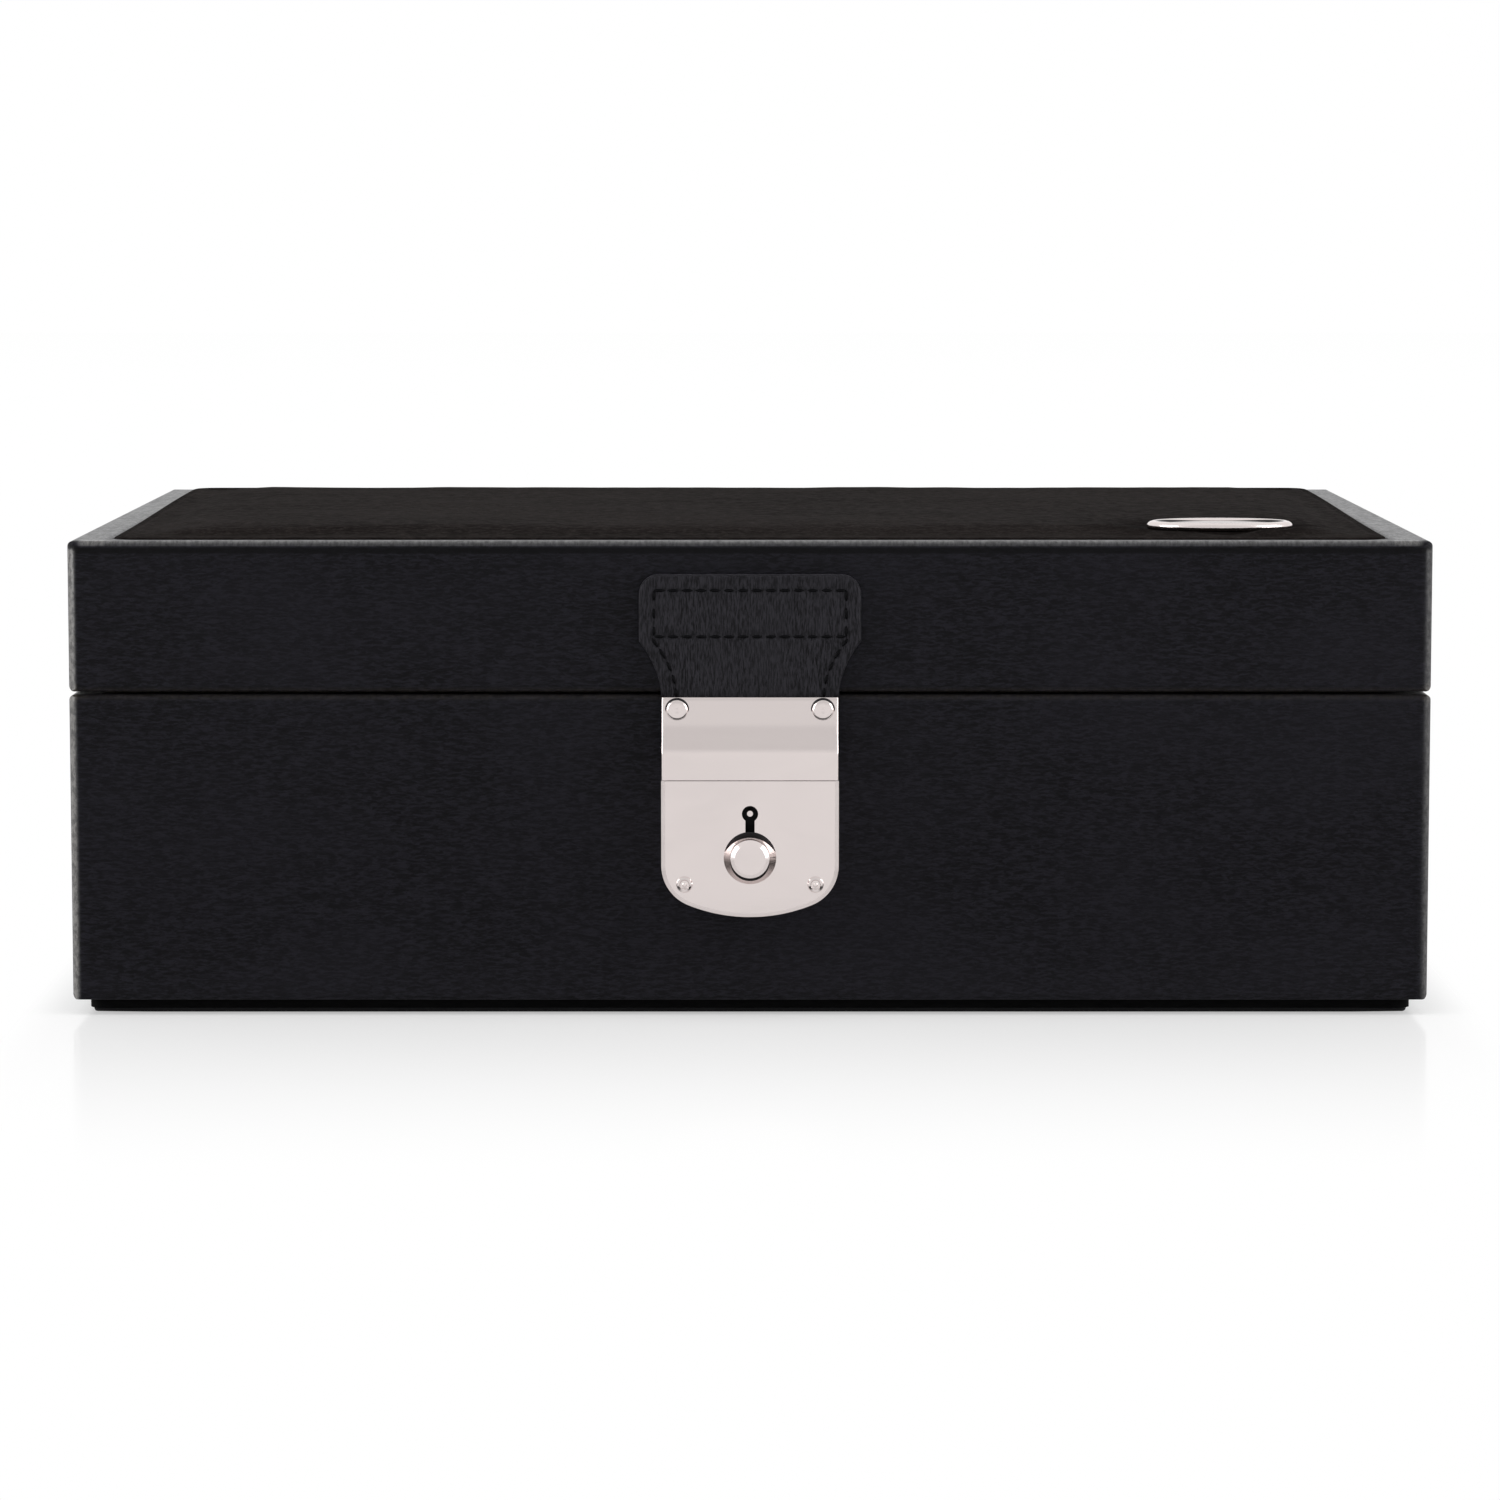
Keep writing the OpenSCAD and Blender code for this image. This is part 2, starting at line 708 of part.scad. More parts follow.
// Wire wound on a helix between the backplate and the button
module button_spring() {
    low = backplate_t + spring_wire_r + fit;
    high = flange_in - spring_wire_r - fit;
    n = spring_turns * spring_steps;
    rings = [for (i = [0 : n]) for (j = [0 : spring_sides - 1])
        let (a = 360 * i / spring_steps, b = 360 * j / spring_sides, r = spring_r + spring_wire_r * cos(b))
        [r * cos(a), r * sin(a), low + (high - low) * i / n + spring_wire_r * sin(b)]];
    sides = [for (i = [0 : n - 1]) for (j = [0 : spring_sides - 1])
        let (k = (j + 1) % spring_sides)
        [i * spring_sides + j, i * spring_sides + k, (i + 1) * spring_sides + k, (i + 1) * spring_sides + j]];
    start = [for (j = [spring_sides - 1 : -1 : 0]) j];
    end = [for (j = [0 : spring_sides - 1]) n * spring_sides + j];
    color(BRASS) translate([0, out(0), button_z]) rotate([90, 0, 0])
        polyhedron(rings, concat(sides, [start, end]), convexity = 6);
}

// Prism across the lock's height whose section leans, so that it carries the bolt sideways
module blade(p0, p1, half_t, z0, z1) {
    x0 = blade_x + bolt_ratio * (flange_out - p0);
    x1 = blade_x + bolt_ratio * (flange_out - p1);
    translate([0, 0, z0]) linear_extrude(z1 - z0)
        polygon([[x0 - half_t, out(p0)], [x0 + half_t, out(p0)], [x1 + half_t, out(p1)], [x1 - half_t, out(p1)]]);
}

module lock_button() {
    chamfer = 0.8;
    color(NICKEL) {
        translate([0, out(flange_in), button_z]) rotate([90, 0, 0]) rotate_extrude()
            polygon([[0, 0], [button_r + flange_w, 0], [button_r + flange_w, flange_t], [button_r, flange_t],
                     [button_r, lock_proud + button_proud - chamfer - flange_in],
                     [button_r - chamfer, lock_proud + button_proud - flange_in],
                     [0, lock_proud + button_proud - flange_in]]);
        on_front(flange_in, flange_out) translate([blade_x - tail_left, foot_high + foot_over])
            square([tail_w, button_z - foot_high]);
        blade(blade_in, flange_out, blade_t / 2, foot_low + foot_floor + slot_clear, blade_high);
    }
}

module lock_bolt() {
    foot_right = foot_left + foot_w;
    arm_low = foot_low + foot_lip;
    color(BRASS) difference() {
        union() {
            on_front(bolt_in, bolt_in + bolt_t) {
                translate([bolt_rest_x, staple_z - bolt_h / 2]) square([arm_right - bolt_rest_x, bolt_h]);
                translate([arm_left, arm_low]) square([arm_right - arm_left, staple_z + bolt_h / 2 - arm_low]);
                translate([0, arm_low]) square([arm_right, foot_high - arm_low]);
            }
            on_front(bolt_in, foot_out) translate([foot_left, foot_low])
                square([foot_right - foot_left, foot_high - foot_low]);
        }
        blade(bolt_in - over, foot_out + over, blade_t / 2 + 2 * slide_clear, foot_low + foot_floor, foot_high + over);
    }
}

// ---------- hinges ----------

function knuckle_x(i) = -hinge_w / 2 + i * (hinge_w + knuckle_gap) / knuckles;
knuckle_l = (hinge_w + knuckle_gap) / knuckles - knuckle_gap;

// Leaf with every second knuckle; up is 1 for the lid and -1 for the case
module hinge_leaf(up, first) {
    low = up > 0 ? seam_z + leaf_gap : seam_z - leaf_gap - leaf_t;
    difference() {
        union() {
            translate([-hinge_w / 2, leaf_y0, low]) cube([hinge_w, leaf_y1 - leaf_y0, leaf_t]);
            for (i = [first : 2 : knuckles - 1]) {
                translate([knuckle_x(i), leaf_y1 - over, low]) cube([knuckle_l, axis_y - leaf_y1 + over, leaf_t]);
                translate([knuckle_x(i), axis_y, seam_z]) rotate([0, 90, 0]) cylinder(h = knuckle_l, r = knuckle_r);
            }
        }
        translate([-hinge_w, axis_y, seam_z]) rotate([0, 90, 0]) cylinder(h = 2 * hinge_w, r = pin_r + fit);
        screw(up, fit);
    }
}

module case_leaf(sx) {
    color(BRASS) translate([sx * hinge_x, 0, 0]) hinge_leaf(-1, 0);
}

module lid_leaf(sx) {
    color(BRASS) translate([sx * hinge_x, 0, 0]) hinge_leaf(1, 1);
}

module hinge_pin(sx) {
    color(BRASS) translate([sx * hinge_x - hinge_w / 2, axis_y, seam_z]) rotate([0, 90, 0])
        cylinder(h = hinge_w, r = pin_r);
}

module hinge_case_screws() {
    color(BRASS) hinge_places() screw(-1, 0);
}

module hinge_lid_screws() {
    color(BRASS) hinge_places() screw(1, 0);
}

// ---------- lid ----------

module lid_outer(inset) {
    soft_block(lid_bottom, box_h, inset);
}

// Four rails with both top edges rounded; they cross at the corners
module rim_rails() {
    rise = box_h - lid_bottom;
    for (sx = [-1, 1]) translate([sx * (box_w / 2 - rim_w / 2), box_d / 2, lid_bottom])
        rotate([90, 0, 0]) linear_extrude(box_d) rail_profile(rise);
    for (sy = [-1, 1]) translate([-box_w / 2, sy * (box_d / 2 - rim_w / 2), lid_bottom])
        rotate([90, 0, 90]) linear_extrude(box_w) rail_profile(rise);
}

module rail_profile(rise) {
    translate([-rim_w / 2, 0]) square([rim_w, rise - rim_inner_r]);
    translate([-rim_w / 2 + rim_inner_r, 0]) square([rim_w - 2 * rim_inner_r, rise]);
    for (sx = [-1, 1]) translate([sx * (rim_w / 2 - rim_inner_r), rise - rim_inner_r]) circle(rim_inner_r);
}

module lid_wood() {
    difference() {
        lid_outer(leather_t);
        well(lid_bottom - over, box_h + over);
        hinge_places() leaf_pocket(1);
        hinge_places() screw(1, fit);
    }
}

module lid_panel(side) {
    color(WOOD) intersection() {
        lid_wood();
        wall_slab(side);
    }
}

module lid_leather() {
    color(LEATHER) difference() {
        intersection() {
            lid_outer(0);
            rim_rails();
        }
        difference() {
            lid_outer(leather_t);
            well(lid_bottom - over, box_h + over);
        }
        well(lid_bottom - over, recess_z);
        hinge_places() leaf_pocket(1);
    }
}

module lid_top_board() {
    color(WOOD) difference() {
        plate(well_w, well_d, lid_ceiling, recess_z);
        badge_prongs(fit);
    }
}

// Section of a cushion: a flat base, a low edge and round shoulders up to a level crown
module crown_profile(w, base, edge, top) {
    right = shoulder(w / 2, edge, pad_shoulder, top - edge);
    polygon(concat([[-w / 2, base], [w / 2, base]], right, mirrored(right)));
}

module cushion(w, d, base, edge, top) {
    intersection() {
        round_plate(w, d, pad_corner_r, base, top);
        translate([0, d / 2, 0]) rotate([90, 0, 0]) linear_extrude(d) crown_profile(w, base, edge, top);
        translate([-w / 2, 0, 0]) rotate([90, 0, 90]) linear_extrude(w) crown_profile(d, base, edge, top);
    }
}

module badge_oval(extra) {
    polygon([for (i = [0 : badge_sides - 1]) let (a = 360 * i / badge_sides)
        [badge_x + (badge_l / 2 + extra) * cos(a), badge_y + (badge_w / 2 + extra) * sin(a)]]);
}

module badge_prongs(extra) {
    for (sx = [-1, 1]) translate([badge_x + sx * prong_x, badge_y, lid_ceiling])
        cylinder(h = badge_z - lid_ceiling, r = prong_r + extra);
}

module lid_top_pad() {
    color(PAD) difference() {
        cushion(pad_w, pad_d, pad_base, pad_edge_z, pad_top);
        translate([0, 0, badge_z - soft_gap]) linear_extrude(pad_crown + over) badge_oval(soft_gap);
        badge_prongs(soft_gap);
    }
}

module badge_plate() {
    color(NICKEL) {
        translate([0, 0, badge_z]) linear_extrude(badge_t) badge_oval(0);
        badge_prongs(0);
    }
}

module lid_lining() {
    low = collar_top + collar_clear;
    color(SUEDE) difference() {
        well(low, lid_ceiling);
        plate(well_w - 2 * lid_lining_t, well_d - 2 * lid_lining_t, low - over, lid_ceiling + over);
    }
}

module lid_inner_pad() {
    side = lid_lining_t + soft_gap;
    color(SUEDE) round_plate(well_w - 2 * side, well_d - 2 * side, pad_corner_r,
                             inner_pad_base, inner_pad_base + inner_pad_t);
}

// ---------- strap and hasp ----------

module strap_anchor() {
    hw = strap_w / 2;
    color(STRAP) on_front(0, strap_t) {
        translate([-hw, anchor_bottom]) square([strap_w, strap_top - strap_corner_r - anchor_bottom]);
        translate([-hw + strap_corner_r, anchor_bottom])
            square([strap_w - 2 * strap_corner_r, strap_top - anchor_bottom]);
        for (sx = [-1, 1]) translate([sx * (hw - strap_corner_r), strap_top - strap_corner_r])
            circle(strap_corner_r);
    }
}

// Loose end of the strap: it necks in towards the hasp and is skived where the plate holds it
module strap_flap() {
    span = taper_top - hasp_top;
    fold_part = (fold_z - hasp_top) / span;
    right = [for (i = [0 : taper_steps]) let (t = fold_part * i / taper_steps) [neck(t), hasp_top + span * t]];
    color(STRAP) {
        on_front(flap_gap, strap_t) polygon(concat(right, mirrored(right)));
        translate([-neck(fold_part), out(flap_mid), fold_z]) rotate([0, 90, 0])
            cylinder(h = 2 * neck(fold_part), r = flap_r);
        difference() {
            on_front(flap_gap + backing_t, strap_t) translate([-hasp_w / 2 + 0.6, strap_end])
                square([hasp_w - 1.2, hasp_top - strap_end]);
            for (sx = [-1, 1])
                front_rod(sx * hasp_rivet_x, hasp_rivet_z, rivet_shank_r + fit, 0, strap_t + over);
        }
    }
}

// Sheet plate that bends out over the lock's ledge to lie flush with the lock's face
module hasp_plate() {
    outer = [for (i = [0 : bend_steps]) let (t = i / bend_steps)
        [hasp_out + (lock_proud - hasp_out) * joggle(t), bend_low + hasp_bend_h * (1 - t)]];
    inner = [for (i = [bend_steps : -1 : 0]) let (t = i / bend_steps)
        [strap_t + (nose_in - strap_t) * joggle(t), bend_in_low + hasp_bend_h * (1 - t)]];
    edge = 0.5;
    section = concat([[strap_t, hasp_top], [hasp_out - edge, hasp_top], [hasp_out, hasp_top - edge]], outer,
                     [[lock_proud, hasp_bottom + edge], [lock_proud - edge, hasp_bottom],
                      [nose_in, hasp_bottom]], inner);
    color(NICKEL) difference() {
        translate([-hasp_w / 2, 0, 0]) rotate([90, 0, 90]) linear_extrude(hasp_w)
            polygon([for (q = section) [out(q[0]), q[1]]]);
        for (sx = [-1, 1]) {
            front_rod(sx * hasp_rivet_x, hasp_rivet_z, rivet_shank_r + fit, 0, lock_proud + over);
            translate([sx * hasp_w / 2, out(lock_proud), 0]) rotate([0, 0, 45])
                translate([-edge, -edge, 0]) cube([2 * edge, 2 * edge, seam_z]);
        }
    }
}

// Lug behind the plate with an eye for the bolt
module hasp_staple() {
    color(NICKEL) difference() {
        translate([-staple_t / 2, out(nose_in), staple_z - staple_h / 2])
            cube([staple_t, nose_in - staple_tip, staple_h]);
        translate([-staple_t, out(bolt_mid + bolt_t / 2 + eye_clear), staple_z - bolt_h / 2 - eye_clear])
            cube([2 * staple_t, bolt_t + 2 * eye_clear, bolt_h + 2 * eye_clear]);
    }
}

module hasp_rivets() {
    color(NICKEL) for (sx = [-1, 1])
        rivet(sx * hasp_rivet_x, hasp_rivet_z, hasp_rivet_r, rivet_dome_h, hasp_out, rivet_shank_r, flap_gap);
}

module hasp_backing() {
    color(NICKEL) difference() {
        on_front(flap_gap, flap_gap + backing_t) translate([-hasp_w / 2 + 1, strap_end])
            square([hasp_w - 2, hasp_top - 0.2 - strap_end]);
        for (sx = [-1, 1])
            front_rod(sx * hasp_rivet_x, hasp_rivet_z, rivet_shank_r + fit, 0, strap_t);
    }
}

// ---------- tray ----------

module tray_floor() {
    color(WOOD) plate(tray_w, tray_d, tray_z, tray_deck);
}

module tray_long_wall(sy) {
    y = sy > 0 ? tray_d / 2 - tray_wall_t : -tray_d / 2;
    color(SUEDE) translate([-tray_w / 2, y, tray_deck]) cube([tray_w, tray_wall_t, tray_top - tray_deck]);
}

module tray_end_wall(sx) {
    x = sx > 0 ? tray_w / 2 - tray_wall_t : -tray_w / 2;
    color(SUEDE) translate([x, -tray_inner_d / 2, tray_deck]) cube([tray_wall_t, tray_inner_d, tray_top - tray_deck]);
}

module tray_long_divider() {
    color(SUEDE) translate([-tray_inner_w / 2, divider_y - divider_t / 2, tray_deck])
        cube([tray_inner_w, divider_t, divider_top - tray_deck]);
}

module tray_cross_dividers() {
    rise = divider_top - tray_deck;
    color(SUEDE) {
        for (i = [1 : 1 : coin_cells - 1])
            translate([-tray_inner_w / 2 + i * coin_pitch - divider_t, -tray_inner_d / 2, tray_deck])
                cube([divider_t, coin_row_d, rise]);
        for (i = [1 : 1 : note_cells - 1])
            translate([-tray_inner_w / 2 + i * note_pitch - divider_t, divider_y + divider_t / 2, tray_deck])
                cube([divider_t, note_row_d, rise]);
    }
}

// One felt sheet for each compartment
module tray_felt() {
    z0 = tray_deck + soft_gap;
    color(FELT) {
        for (i = [0 : coin_cells - 1])
            translate([-tray_inner_w / 2 + i * coin_pitch + soft_gap, -tray_inner_d / 2 + soft_gap, z0])
                cube([coin_pitch - divider_t - 2 * soft_gap, coin_row_d - 2 * soft_gap, tray_felt_t]);
        for (i = [0 : note_cells - 1])
            translate([-tray_inner_w / 2 + i * note_pitch + soft_gap, divider_y + divider_t / 2 + soft_gap, z0])
                cube([note_pitch - divider_t - 2 * soft_gap, note_row_d - 2 * soft_gap, tray_felt_t]);
    }
}

// Leather tab on each end wall, with a rounded top
module tray_pulls() {
    r = 4;
    low = tray_top - pull_depth;
    high = tray_top + pull_rise;
    color(STRAP) for (sx = [-1, 1])
        translate([sx > 0 ? tray_inner_w / 2 - pull_t : -tray_inner_w / 2, tray_inner_d / 2 - note_row_d / 2, 0])
            rotate([90, 0, 90]) linear_extrude(pull_t) {
                translate([-pull_w / 2, low]) square([pull_w, high - r - low]);
                translate([-pull_w / 2 + r, low]) square([pull_w - 2 * r, high - low]);
                for (sy = [-1, 1]) translate([sy * (pull_w / 2 - r), high - r]) circle(r);
            }
}

// ---------- what is drawn ----------

base_felt();
base_board();
case_bottom_panel();
case_panel("front");  // case_front_panel
case_panel("back");  // case_back_panel
case_panel("left");  // case_left_panel
case_panel("right");  // case_right_panel
case_leather();
case_lining("front");  // case_lining_front
case_lining("back");  // case_lining_back
case_lining("left");  // case_lining_left
case_lining("right");  // case_lining_right
floor_pad();
tray_rest(-1);  // tray_rest_left
tray_rest(1);  // tray_rest_right
lock_body();
lock_backplate();
lock_rivets();
key_post();
button_spring();
case_leaf(-1);  // hinge_case_leaf_left
case_leaf(1);  // hinge_case_leaf_right
hinge_pin(-1);  // hinge_pin_left
hinge_pin(1);  // hinge_pin_right
hinge_case_screws();
lid_panel("front");  // lid_front_panel
lid_panel("back");  // lid_back_panel
lid_panel("left");  // lid_left_panel
lid_panel("right");  // lid_right_panel
lid_top_board();
lid_leather();
lid_top_pad();
lid_lining();
lid_inner_pad();
badge_plate();
lid_leaf(-1);  // hinge_lid_leaf_left
lid_leaf(1);  // hinge_lid_leaf_right
hinge_lid_screws();
strap_anchor();
strap_flap();
hasp_plate();
hasp_staple();
hasp_rivets();
hasp_backing();
lock_button();
lock_bolt();
tray_floor();
tray_long_wall(-1);  // tray_front_wall
tray_long_wall(1);  // tray_back_wall
tray_end_wall(-1);  // tray_left_wall
tray_end_wall(1);  // tray_right_wall
tray_long_divider();
tray_cross_dividers();
tray_felt();
tray_pulls();
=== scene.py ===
"""Dresses the cash box: leather, strap, stitches, pads, nickel lock, tray, and the stage."""

import json
import math

import bmesh
import bpy
from bpy.props import FloatProperty, FloatVectorProperty, PointerProperty
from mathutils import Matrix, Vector, noise
from mathutils.bvhtree import BVHTree


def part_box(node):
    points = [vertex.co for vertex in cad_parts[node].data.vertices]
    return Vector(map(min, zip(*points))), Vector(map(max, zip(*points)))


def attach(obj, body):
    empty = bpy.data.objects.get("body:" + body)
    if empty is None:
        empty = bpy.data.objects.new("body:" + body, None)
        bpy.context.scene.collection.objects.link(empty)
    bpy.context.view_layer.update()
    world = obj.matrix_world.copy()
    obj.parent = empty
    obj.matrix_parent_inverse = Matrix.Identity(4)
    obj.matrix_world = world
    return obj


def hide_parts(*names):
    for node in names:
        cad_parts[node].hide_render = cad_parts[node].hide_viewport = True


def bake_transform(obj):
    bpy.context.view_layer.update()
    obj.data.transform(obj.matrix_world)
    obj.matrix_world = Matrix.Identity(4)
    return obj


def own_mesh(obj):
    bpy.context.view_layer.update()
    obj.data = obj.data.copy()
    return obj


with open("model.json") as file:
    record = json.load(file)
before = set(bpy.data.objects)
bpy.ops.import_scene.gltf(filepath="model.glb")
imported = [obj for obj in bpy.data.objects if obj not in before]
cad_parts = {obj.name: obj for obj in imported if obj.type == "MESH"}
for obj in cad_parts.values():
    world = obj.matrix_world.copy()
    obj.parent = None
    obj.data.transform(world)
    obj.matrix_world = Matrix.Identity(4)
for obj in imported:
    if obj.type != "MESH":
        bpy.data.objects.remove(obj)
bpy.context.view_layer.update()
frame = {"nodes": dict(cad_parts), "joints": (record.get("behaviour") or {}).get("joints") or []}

bl_info = {
    "name": "Strap-lock cash box",
    "version": (1, 0, 0),
    "blender": (4, 5, 0),
    "location": "3D View > Sidebar > Cash Box",
    "description": "Makes the soft parts, fittings and finishes of a leather-covered cash box",
    "category": "Object",
}

NODES = frame["nodes"]
FINISHES = {}
MM = 0.001


def box_mm(node):
    """A CAD node's lower and upper corner, in millimetres."""
    return [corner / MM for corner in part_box(node)]


# Where the leather's front face lies, in metres.
FRONT_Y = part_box("strap_anchor")[1].y
# How far the button goes in, in metres.
BUTTON_TRAVEL = next(joint["range_m"][1] for joint in frame["joints"] if joint["name"] == "button_push")
# Height of the button's axis, in millimetres.
BUTTON_Z = sum(corner.z for corner in box_mm("button_spring")) / 2
# How far the lock's face stands out from the leather, in millimetres.
LOCK_FACE = FRONT_Y / MM - box_mm("lock_body")[0].y
# Radii of the ring round the button, at its opening and at its rim, in millimetres.
RING_HOLE, RING_RIM = 4.42, 5.78
# Height of the badge above the place where it sits in the pad, in millimetres.
BADGE_HEIGHT = 1.8


# ---------- node trees ----------


class Wire:
    """One socket of a node tree. Arithmetic on it adds Math nodes."""

    def __init__(self, tree, socket):
        self.tree = tree
        self.socket = socket

    def __add__(self, other):
        return self.tree.maths("ADD", self, other)

    def __sub__(self, other):
        return self.tree.maths("SUBTRACT", self, other)

    def __mul__(self, other):
        return self.tree.maths("MULTIPLY", self, other)

    def __truediv__(self, other):
        return self.tree.maths("DIVIDE", self, other)

    def __pow__(self, other):
        return self.tree.maths("POWER", self, other)

    def __rsub__(self, other):
        return self.tree.maths("SUBTRACT", other, self)

    def __abs__(self):
        return self.tree.maths("ABSOLUTE", self)

    __radd__ = __add__
    __rmul__ = __mul__


class Tree:
    """A node tree, and the one way in which nodes are put into it."""

    def __init__(self, tree):
        self.tree = tree

    def find(self, sockets, key):
        """A socket by its place, its identifier or the name that it shows."""
        if isinstance(key, int):
            return sockets[key]
        exact = [s for s in sockets if s.identifier == key]
        return (exact or [s for s in sockets if s.name == key and s.enabled])[0]

    def node(self, kind, settings=None, sockets=None, output=0):
        """Adds a node, sets it up, fills or links its inputs and gives one of its outputs."""
        made = self.tree.nodes.new(kind)
        for key, value in (settings or {}).items():
            setattr(made, key, value)
        for key, value in (sockets or {}).items():
            target = self.find(made.inputs, key)
            if isinstance(value, Wire):
                self.tree.links.new(value.socket, target)
            else:
                target.default_value = value
        return Wire(self, self.find(made.outputs, output)) if made.outputs else made

    def maths(self, operation, first, second=0.0):
        return self.node("ShaderNodeMath", {"operation": operation}, {0: first, 1: second})

    def other(self, wire, key):
        """Another output of the node that a wire comes from."""
        return Wire(self, self.find(wire.socket.node.outputs, key))


class Finish(Tree):
    """A material round one Principled BSDF, with patterns on Object coordinates."""

    def __init__(self, name, **constants):
        self.material = bpy.data.materials.new(name)
        self.material.use_nodes = True
        super().__init__(self.material.node_tree)
        self.tree.nodes.clear()
        self.shader = self.tree.nodes.new("ShaderNodeBsdfPrincipled")
        output = self.tree.nodes.new("ShaderNodeOutputMaterial")
        self.tree.links.new(self.shader.outputs[0], output.inputs["Surface"])
        self.place = self.node("ShaderNodeTexCoord", output="Object")
        self.x = self.node("ShaderNodeSeparateXYZ", None, {0: self.place})
        self.y = self.other(self.x, 1)
        self.z = self.other(self.x, 2)
        for socket, value in constants.items():
            self.shader.inputs[socket.replace("_", " ")].default_value = value

    def feed(self, socket, value):
        if isinstance(value, Wire):
            self.tree.links.new(value.socket, self.shader.inputs[socket])
        else:
            self.shader.inputs[socket].default_value = value

    def done(self, colour, roughness, normal):
        """Feeds what every surface varies, and gives the finished material."""
        self.feed("Base Color", colour)
        self.feed("Roughness", roughness)
        self.feed("Normal", normal)
        return self.material

    def stretched(self, stretch):
        return self.node("ShaderNodeVectorMath", {"operation": "MULTIPLY"}, {0: self.place, 1: stretch})

    def cloud(self, size, stretch=(1, 1, 1), detail=3, rough=0.55, twist=0.0):
        """Noise whose features are about size millimetres across."""
        sockets = {"Vector": self.stretched(stretch), "Scale": 1000 / size, "Detail": detail,
                   "Roughness": rough, "Distortion": twist}
        return self.node("ShaderNodeTexNoise", None, sockets)

    def cells(self, size, stretch=(1, 1, 1), feature="F1"):
        sockets = {"Vector": self.stretched(stretch), "Scale": 1000 / size}
        return self.node("ShaderNodeTexVoronoi", {"feature": feature}, sockets)

    def between(self, value, low, high, bottom=0.0, top=1.0):
        """Smooth step of value from low..high to bottom..top."""
        sockets = {"Value": value, "From Min": low, "From Max": high, "To Min": bottom, "To Max": top}
        return self.node("ShaderNodeMapRange", {"interpolation_type": "SMOOTHSTEP"}, sockets)

    def oval(self, middle, half):
        """Distance out from a place, which is 1 on the oval with these half sizes."""
        across, deep = (self.x - middle[0]) / half[0], (self.y - middle[1]) / half[1]
        return (across * across + deep * deep) ** 0.5

    def blended(self, factor, first, second):
        sockets = {"Factor_Float": factor, "A_Color": first, "B_Color": second}
        return self.node("ShaderNodeMix", {"data_type": "RGBA"}, sockets, "Result_Color")

    def relief(self, height, depth, normal=None):
        """Bump of depth millimetres."""
        sockets = {"Strength": 1.0, "Distance": depth * MM, "Height": height}
        if normal:
            sockets["Normal"] = normal
        return self.node("ShaderNodeBump", None, sockets)


def rgb(colour, level=1.0):
    return (colour[0] * level, colour[1] * level, colour[2] * level, 1.0)


# ---------- finishes ----------


def cover_leather(sizes):
    """Smooth black hide with short level creases, fine pores and paler edges, mostly painted highlight and
    painted reflection; a line of painted shade runs below the rim.
    """
    colour = tuple(sizes.cover_colour)
    f = Finish("hide, black", Specular_IOR_Level=sizes.leather_gloss, IOR=1.5, Coat_Roughness=0.28,
               Coat_IOR=2.15)
    creases = f.cloud(sizes.grain / MM, (0.26, 0.26, 1.0), 5, 0.62, 0.6)
    pores = f.cells(0.42, (0.8, 0.8, 1.0))
    broad = f.cloud(38, (1, 1, 1.4), 3, 0.5)
    flecks = f.between(f.cloud(0.8, (1, 0.16, 0.5), 4, 0.7), 0.36, 0.64)

    # In millimetres: in from the sides, in from the front and back, down from the rim, and the height.
    (lid_low, outer), (case_low, case_high) = box_mm("lid_leather"), box_mm("case_leather")
    side, end, height = outer.x - abs(f.x) / MM, outer.y - abs(f.y) / MM, f.z / MM
    down = outer.z - height
    # Painted highlight: a pale strip just inside each upright corner, stronger on the left, where the side
    # lights' reflection falls.
    corner = f.between(side, 2.5, 0.7) * f.between(side, 0.1, 0.35) * f.between(end, 3.0, 1.2)
    corner = corner * f.between(f.x, 0.05, -0.05, 0.45, 1.0) * f.between(down, 1.2, 2.4)
    foot = f.between(height - case_low.z, 1.8, 0.2)
    seam = f.between(abs(height - (case_high.z + lid_low.z) / 2), 2.8, 0.4)
    turned = f.between(side, 3.7, 1.7) * f.between(end, 6.0, 1.5)
    # Painted reflection: the tops of the side rails are painted a warm pale grey, as a grazing reflection
    # shows them.
    rail = f.between(down, 1.4, 0.5) * f.between(side, 9.5, 7.5) * (1 - turned)
    # Painted highlight: a bright line along the rounded top of the front and back bands.
    brow = f.between(down, 1.4, 0.9) * f.between(down, 0.8, 0.2, 0.7, 1.1)
    brow = brow * f.between(end, 2.6, 1.6) * (1 - turned)
    top = rail * 0.38 + brow * 0.66
    # Painted shade: a dark line just below the rim's rounding, all round.
    fold_shade = f.between(abs(down - 2.1), 0.9, 0.4)

    # Where the hide is painted paler, broken up by flecks: the corner strips and the rail and front-band tops
    # are painted highlight and painted reflection; the band along the seam is paler too.
    wear_and_highlight = f.between(corner + seam * 0.5 + top * 0.6, 0.2, 1.0) * (0.35 + flecks * 0.65)
    tone = f.blended(f.between(creases, 0.38, 0.66), rgb(colour, 0.35), rgb(colour, 1.6))
    tone = f.blended(f.between(broad, 0.35, 0.7) * 0.35, tone, rgb(colour, 1.4))
    tone = f.blended(fold_shade * 0.8, tone, rgb(colour, 0.1))
    tone = f.blended(wear_and_highlight * 0.6, tone, (0.1, 0.087, 0.073, 1))
    rough = f.between(creases, 0.25, 0.75, 0.42, 0.27) + broad * 0.06 - 0.03 + foot * 0.45
    f.feed("Coat Weight", f.between(corner + top, 0.0, 1.0) * (0.45 + flecks * 0.55))
    return f.done(tone, rough, f.relief(creases, 0.19, f.relief(pores, 0.02)))


